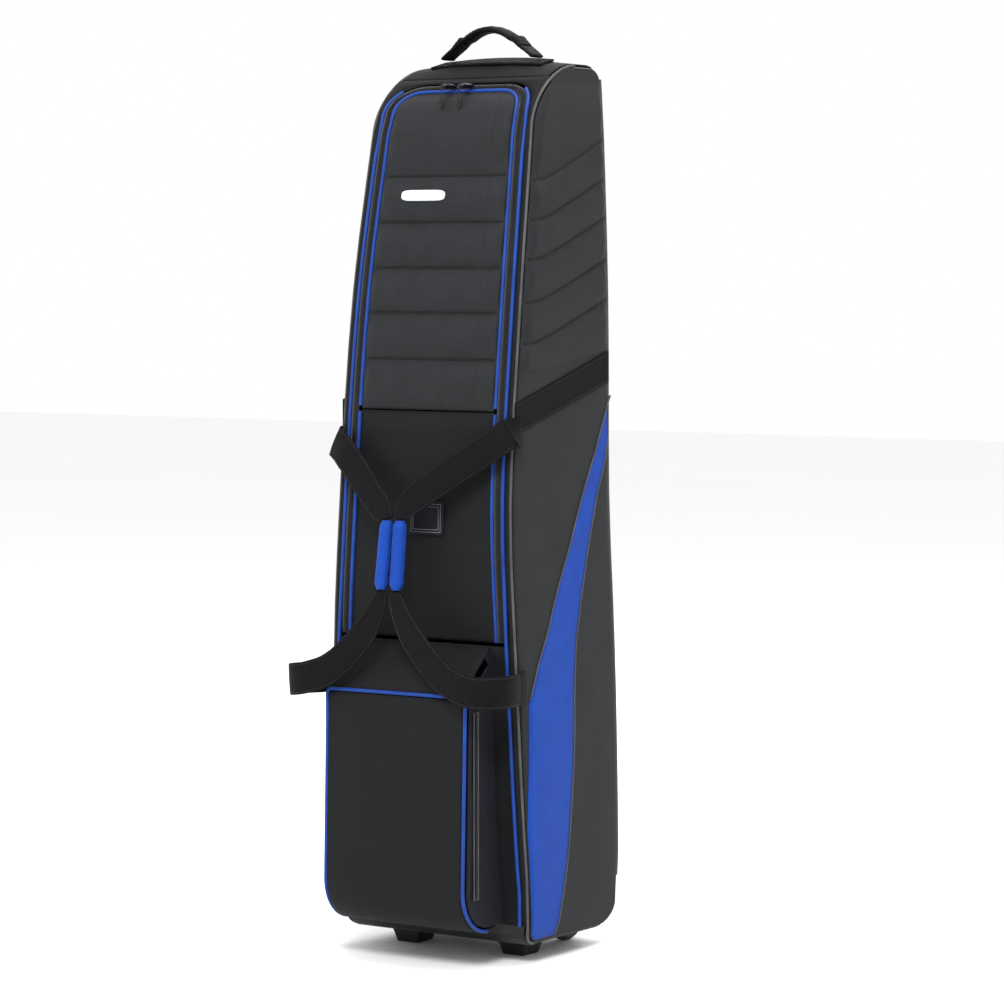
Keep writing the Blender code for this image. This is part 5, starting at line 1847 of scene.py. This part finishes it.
# ---------------------------------------------------------------- carried-over pieces
class RunningGear:
    """Finishes for the CAD pieces that keep their shape, and their small fasteners."""

    finishes = {
        "base_tray": Finish.SHELL, "front_foot_left": Finish.SHELL,
        "front_foot_right": Finish.SHELL, "wheel_housing_left": Finish.SHELL,
        "wheel_housing_right": Finish.SHELL, "kick_plate": Finish.SHELL,
        "cinch_buckle": Finish.SHELL, "cinch_belt": Finish.BELT,
        "back_stiffener_board": Finish.BOARD,
        "tyre_left": Finish.TYRE, "tyre_right": Finish.TYRE, "hub_left": Finish.HUB,
        "hub_right": Finish.HUB, "bearing_left": Finish.STEEL, "bearing_right": Finish.STEEL,
        "axle_bolt_left": Finish.STEEL, "axle_bolt_right": Finish.STEEL,
    }

    def build(self) -> None:
        """Dress the carried-over nodes and add the screws."""
        for node, finish in self.finishes.items():
            data = frame["nodes"][node].data
            data.materials.clear()
            data.materials.append(WARDROBE.get(finish))
            if node.startswith(("tyre", "hub", "bearing", "axle")):
                data.shade_smooth()
                data.set_sharp_from_angle(angle=math.radians(35))
        self.screws()

    def screws(self) -> None:
        """Domed screws that hold the kick plate."""
        low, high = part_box("kick_plate")
        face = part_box("back_panel")[1].y + 0.0033
        places = [(x, z) for x in (low.x + 0.012, 0.0, high.x - 0.012)
                  for z in (low.z + 0.012, high.z - 0.012)]
        profile = ((0.0048, 0.0), (0.0046, 0.0009), (0.0036, 0.0017), (0.0018, 0.0021),
                   (0.0016, 0.0010))
        for index, (x, z) in enumerate(places):
            rings = [[(x + r * math.cos(a), face + lift, z + r * math.sin(a)) for a in around(18)]
                     for r, lift in profile]
            solid(f"kick_plate_screw_{index + 1}", rings, Finish.STEEL, "case", ())


# ---------------------------------------------------------------- camera and studio
@dataclass
class Studio:
    """Camera, pale floor and soft lights."""

    azimuth: float = 34.0
    distance: float = 5.349
    side_shift: float = 0.0386
    height: float = 0.985
    dip: float = 3.683
    lens: float = 134.25

    def build(self, mid_y: float) -> None:
        """Place everything that isn't the case."""
        turn = math.radians(self.azimuth)
        right = Vector((math.cos(turn), math.sin(turn), 0))
        back = Vector((math.sin(turn), -math.cos(turn), 0))
        eye = Vector((0, mid_y, self.height)) + back * self.distance + right * self.side_shift
        camera = bpy.data.objects.new("camera", bpy.data.cameras.new("camera"))
        camera.location = eye
        camera.rotation_euler = (math.radians(90 - self.dip), 0, turn)
        camera.data.lens = self.lens
        camera.data.sensor_width = 36.0
        camera.data.clip_end = 60.0
        bpy.context.scene.collection.objects.link(camera)
        bpy.context.scene.camera = camera
        self.floor()
        self.light("key_light", (1.6, -3.4, 3.8), (0, 0, 0.85), 1.6, 210.0)
        self.light("fill_light", (-3.2, -3.0, 2.2), (0, 0, 0.7), 3.0, 30.0)
        self.light("top_light", (0.3, 0.6, 4.2), (0, 0, 1.0), 2.2, 90.0)
        self.light("back_light", (-1.0, 4.0, 2.6), (0, 0, 0.8), 2.6, 60.0)
        world = bpy.data.worlds.new("studio")
        world.use_nodes = True
        world.node_tree.nodes["Background"].inputs[0].default_value = (1.0, 1.0, 1.0, 1.0)
        world.node_tree.nodes["Background"].inputs[1].default_value = 1.0
        bpy.context.scene.world = world
        bpy.context.scene.view_settings.view_transform = "Standard"

    def floor(self) -> None:
        """A plain pale floor."""
        rows = [[(x, y, 0.0) for x in (-14, 14)] for y in (-14, 14)]
        data = grid_mesh("floor", rows, (0, 0, 1))
        graph = Graph("pale_floor")
        tone = graph.speckle(0.6, 2.0)
        data.materials.append(graph.dress(graph.blend(tone, (0.90, 0.90, 0.90), (0.94, 0.94, 0.94)),
                                          0.75))
        item = bpy.data.objects.new("floor", data)
        bpy.context.scene.collection.objects.link(item)

    def light(self, name: str, place: Point, aim: Point, size: float, power: float) -> None:
        """A soft square light that faces a point."""
        data = bpy.data.lights.new(name, "AREA")
        data.size = size
        data.energy = power
        item = bpy.data.objects.new(name, data)
        item.location = place
        item.rotation_euler = (Vector(aim) - Vector(place)).to_track_quat("-Z", "Y").to_euler()
        bpy.context.scene.collection.objects.link(item)


def main() -> None:
    """Build the looks in order."""
    logging.basicConfig(level=logging.INFO, format="%(message)s")
    case = CaseShell()
    Studio().build(case.mid_y)
    SidePanels(case).build()
    Skin(case).build()
    Door(case).build()
    Pocket(case).build()
    Straps(case).build()
    TopHandle().build()
    RunningGear().build()


if __name__ == "__main__":
    main()
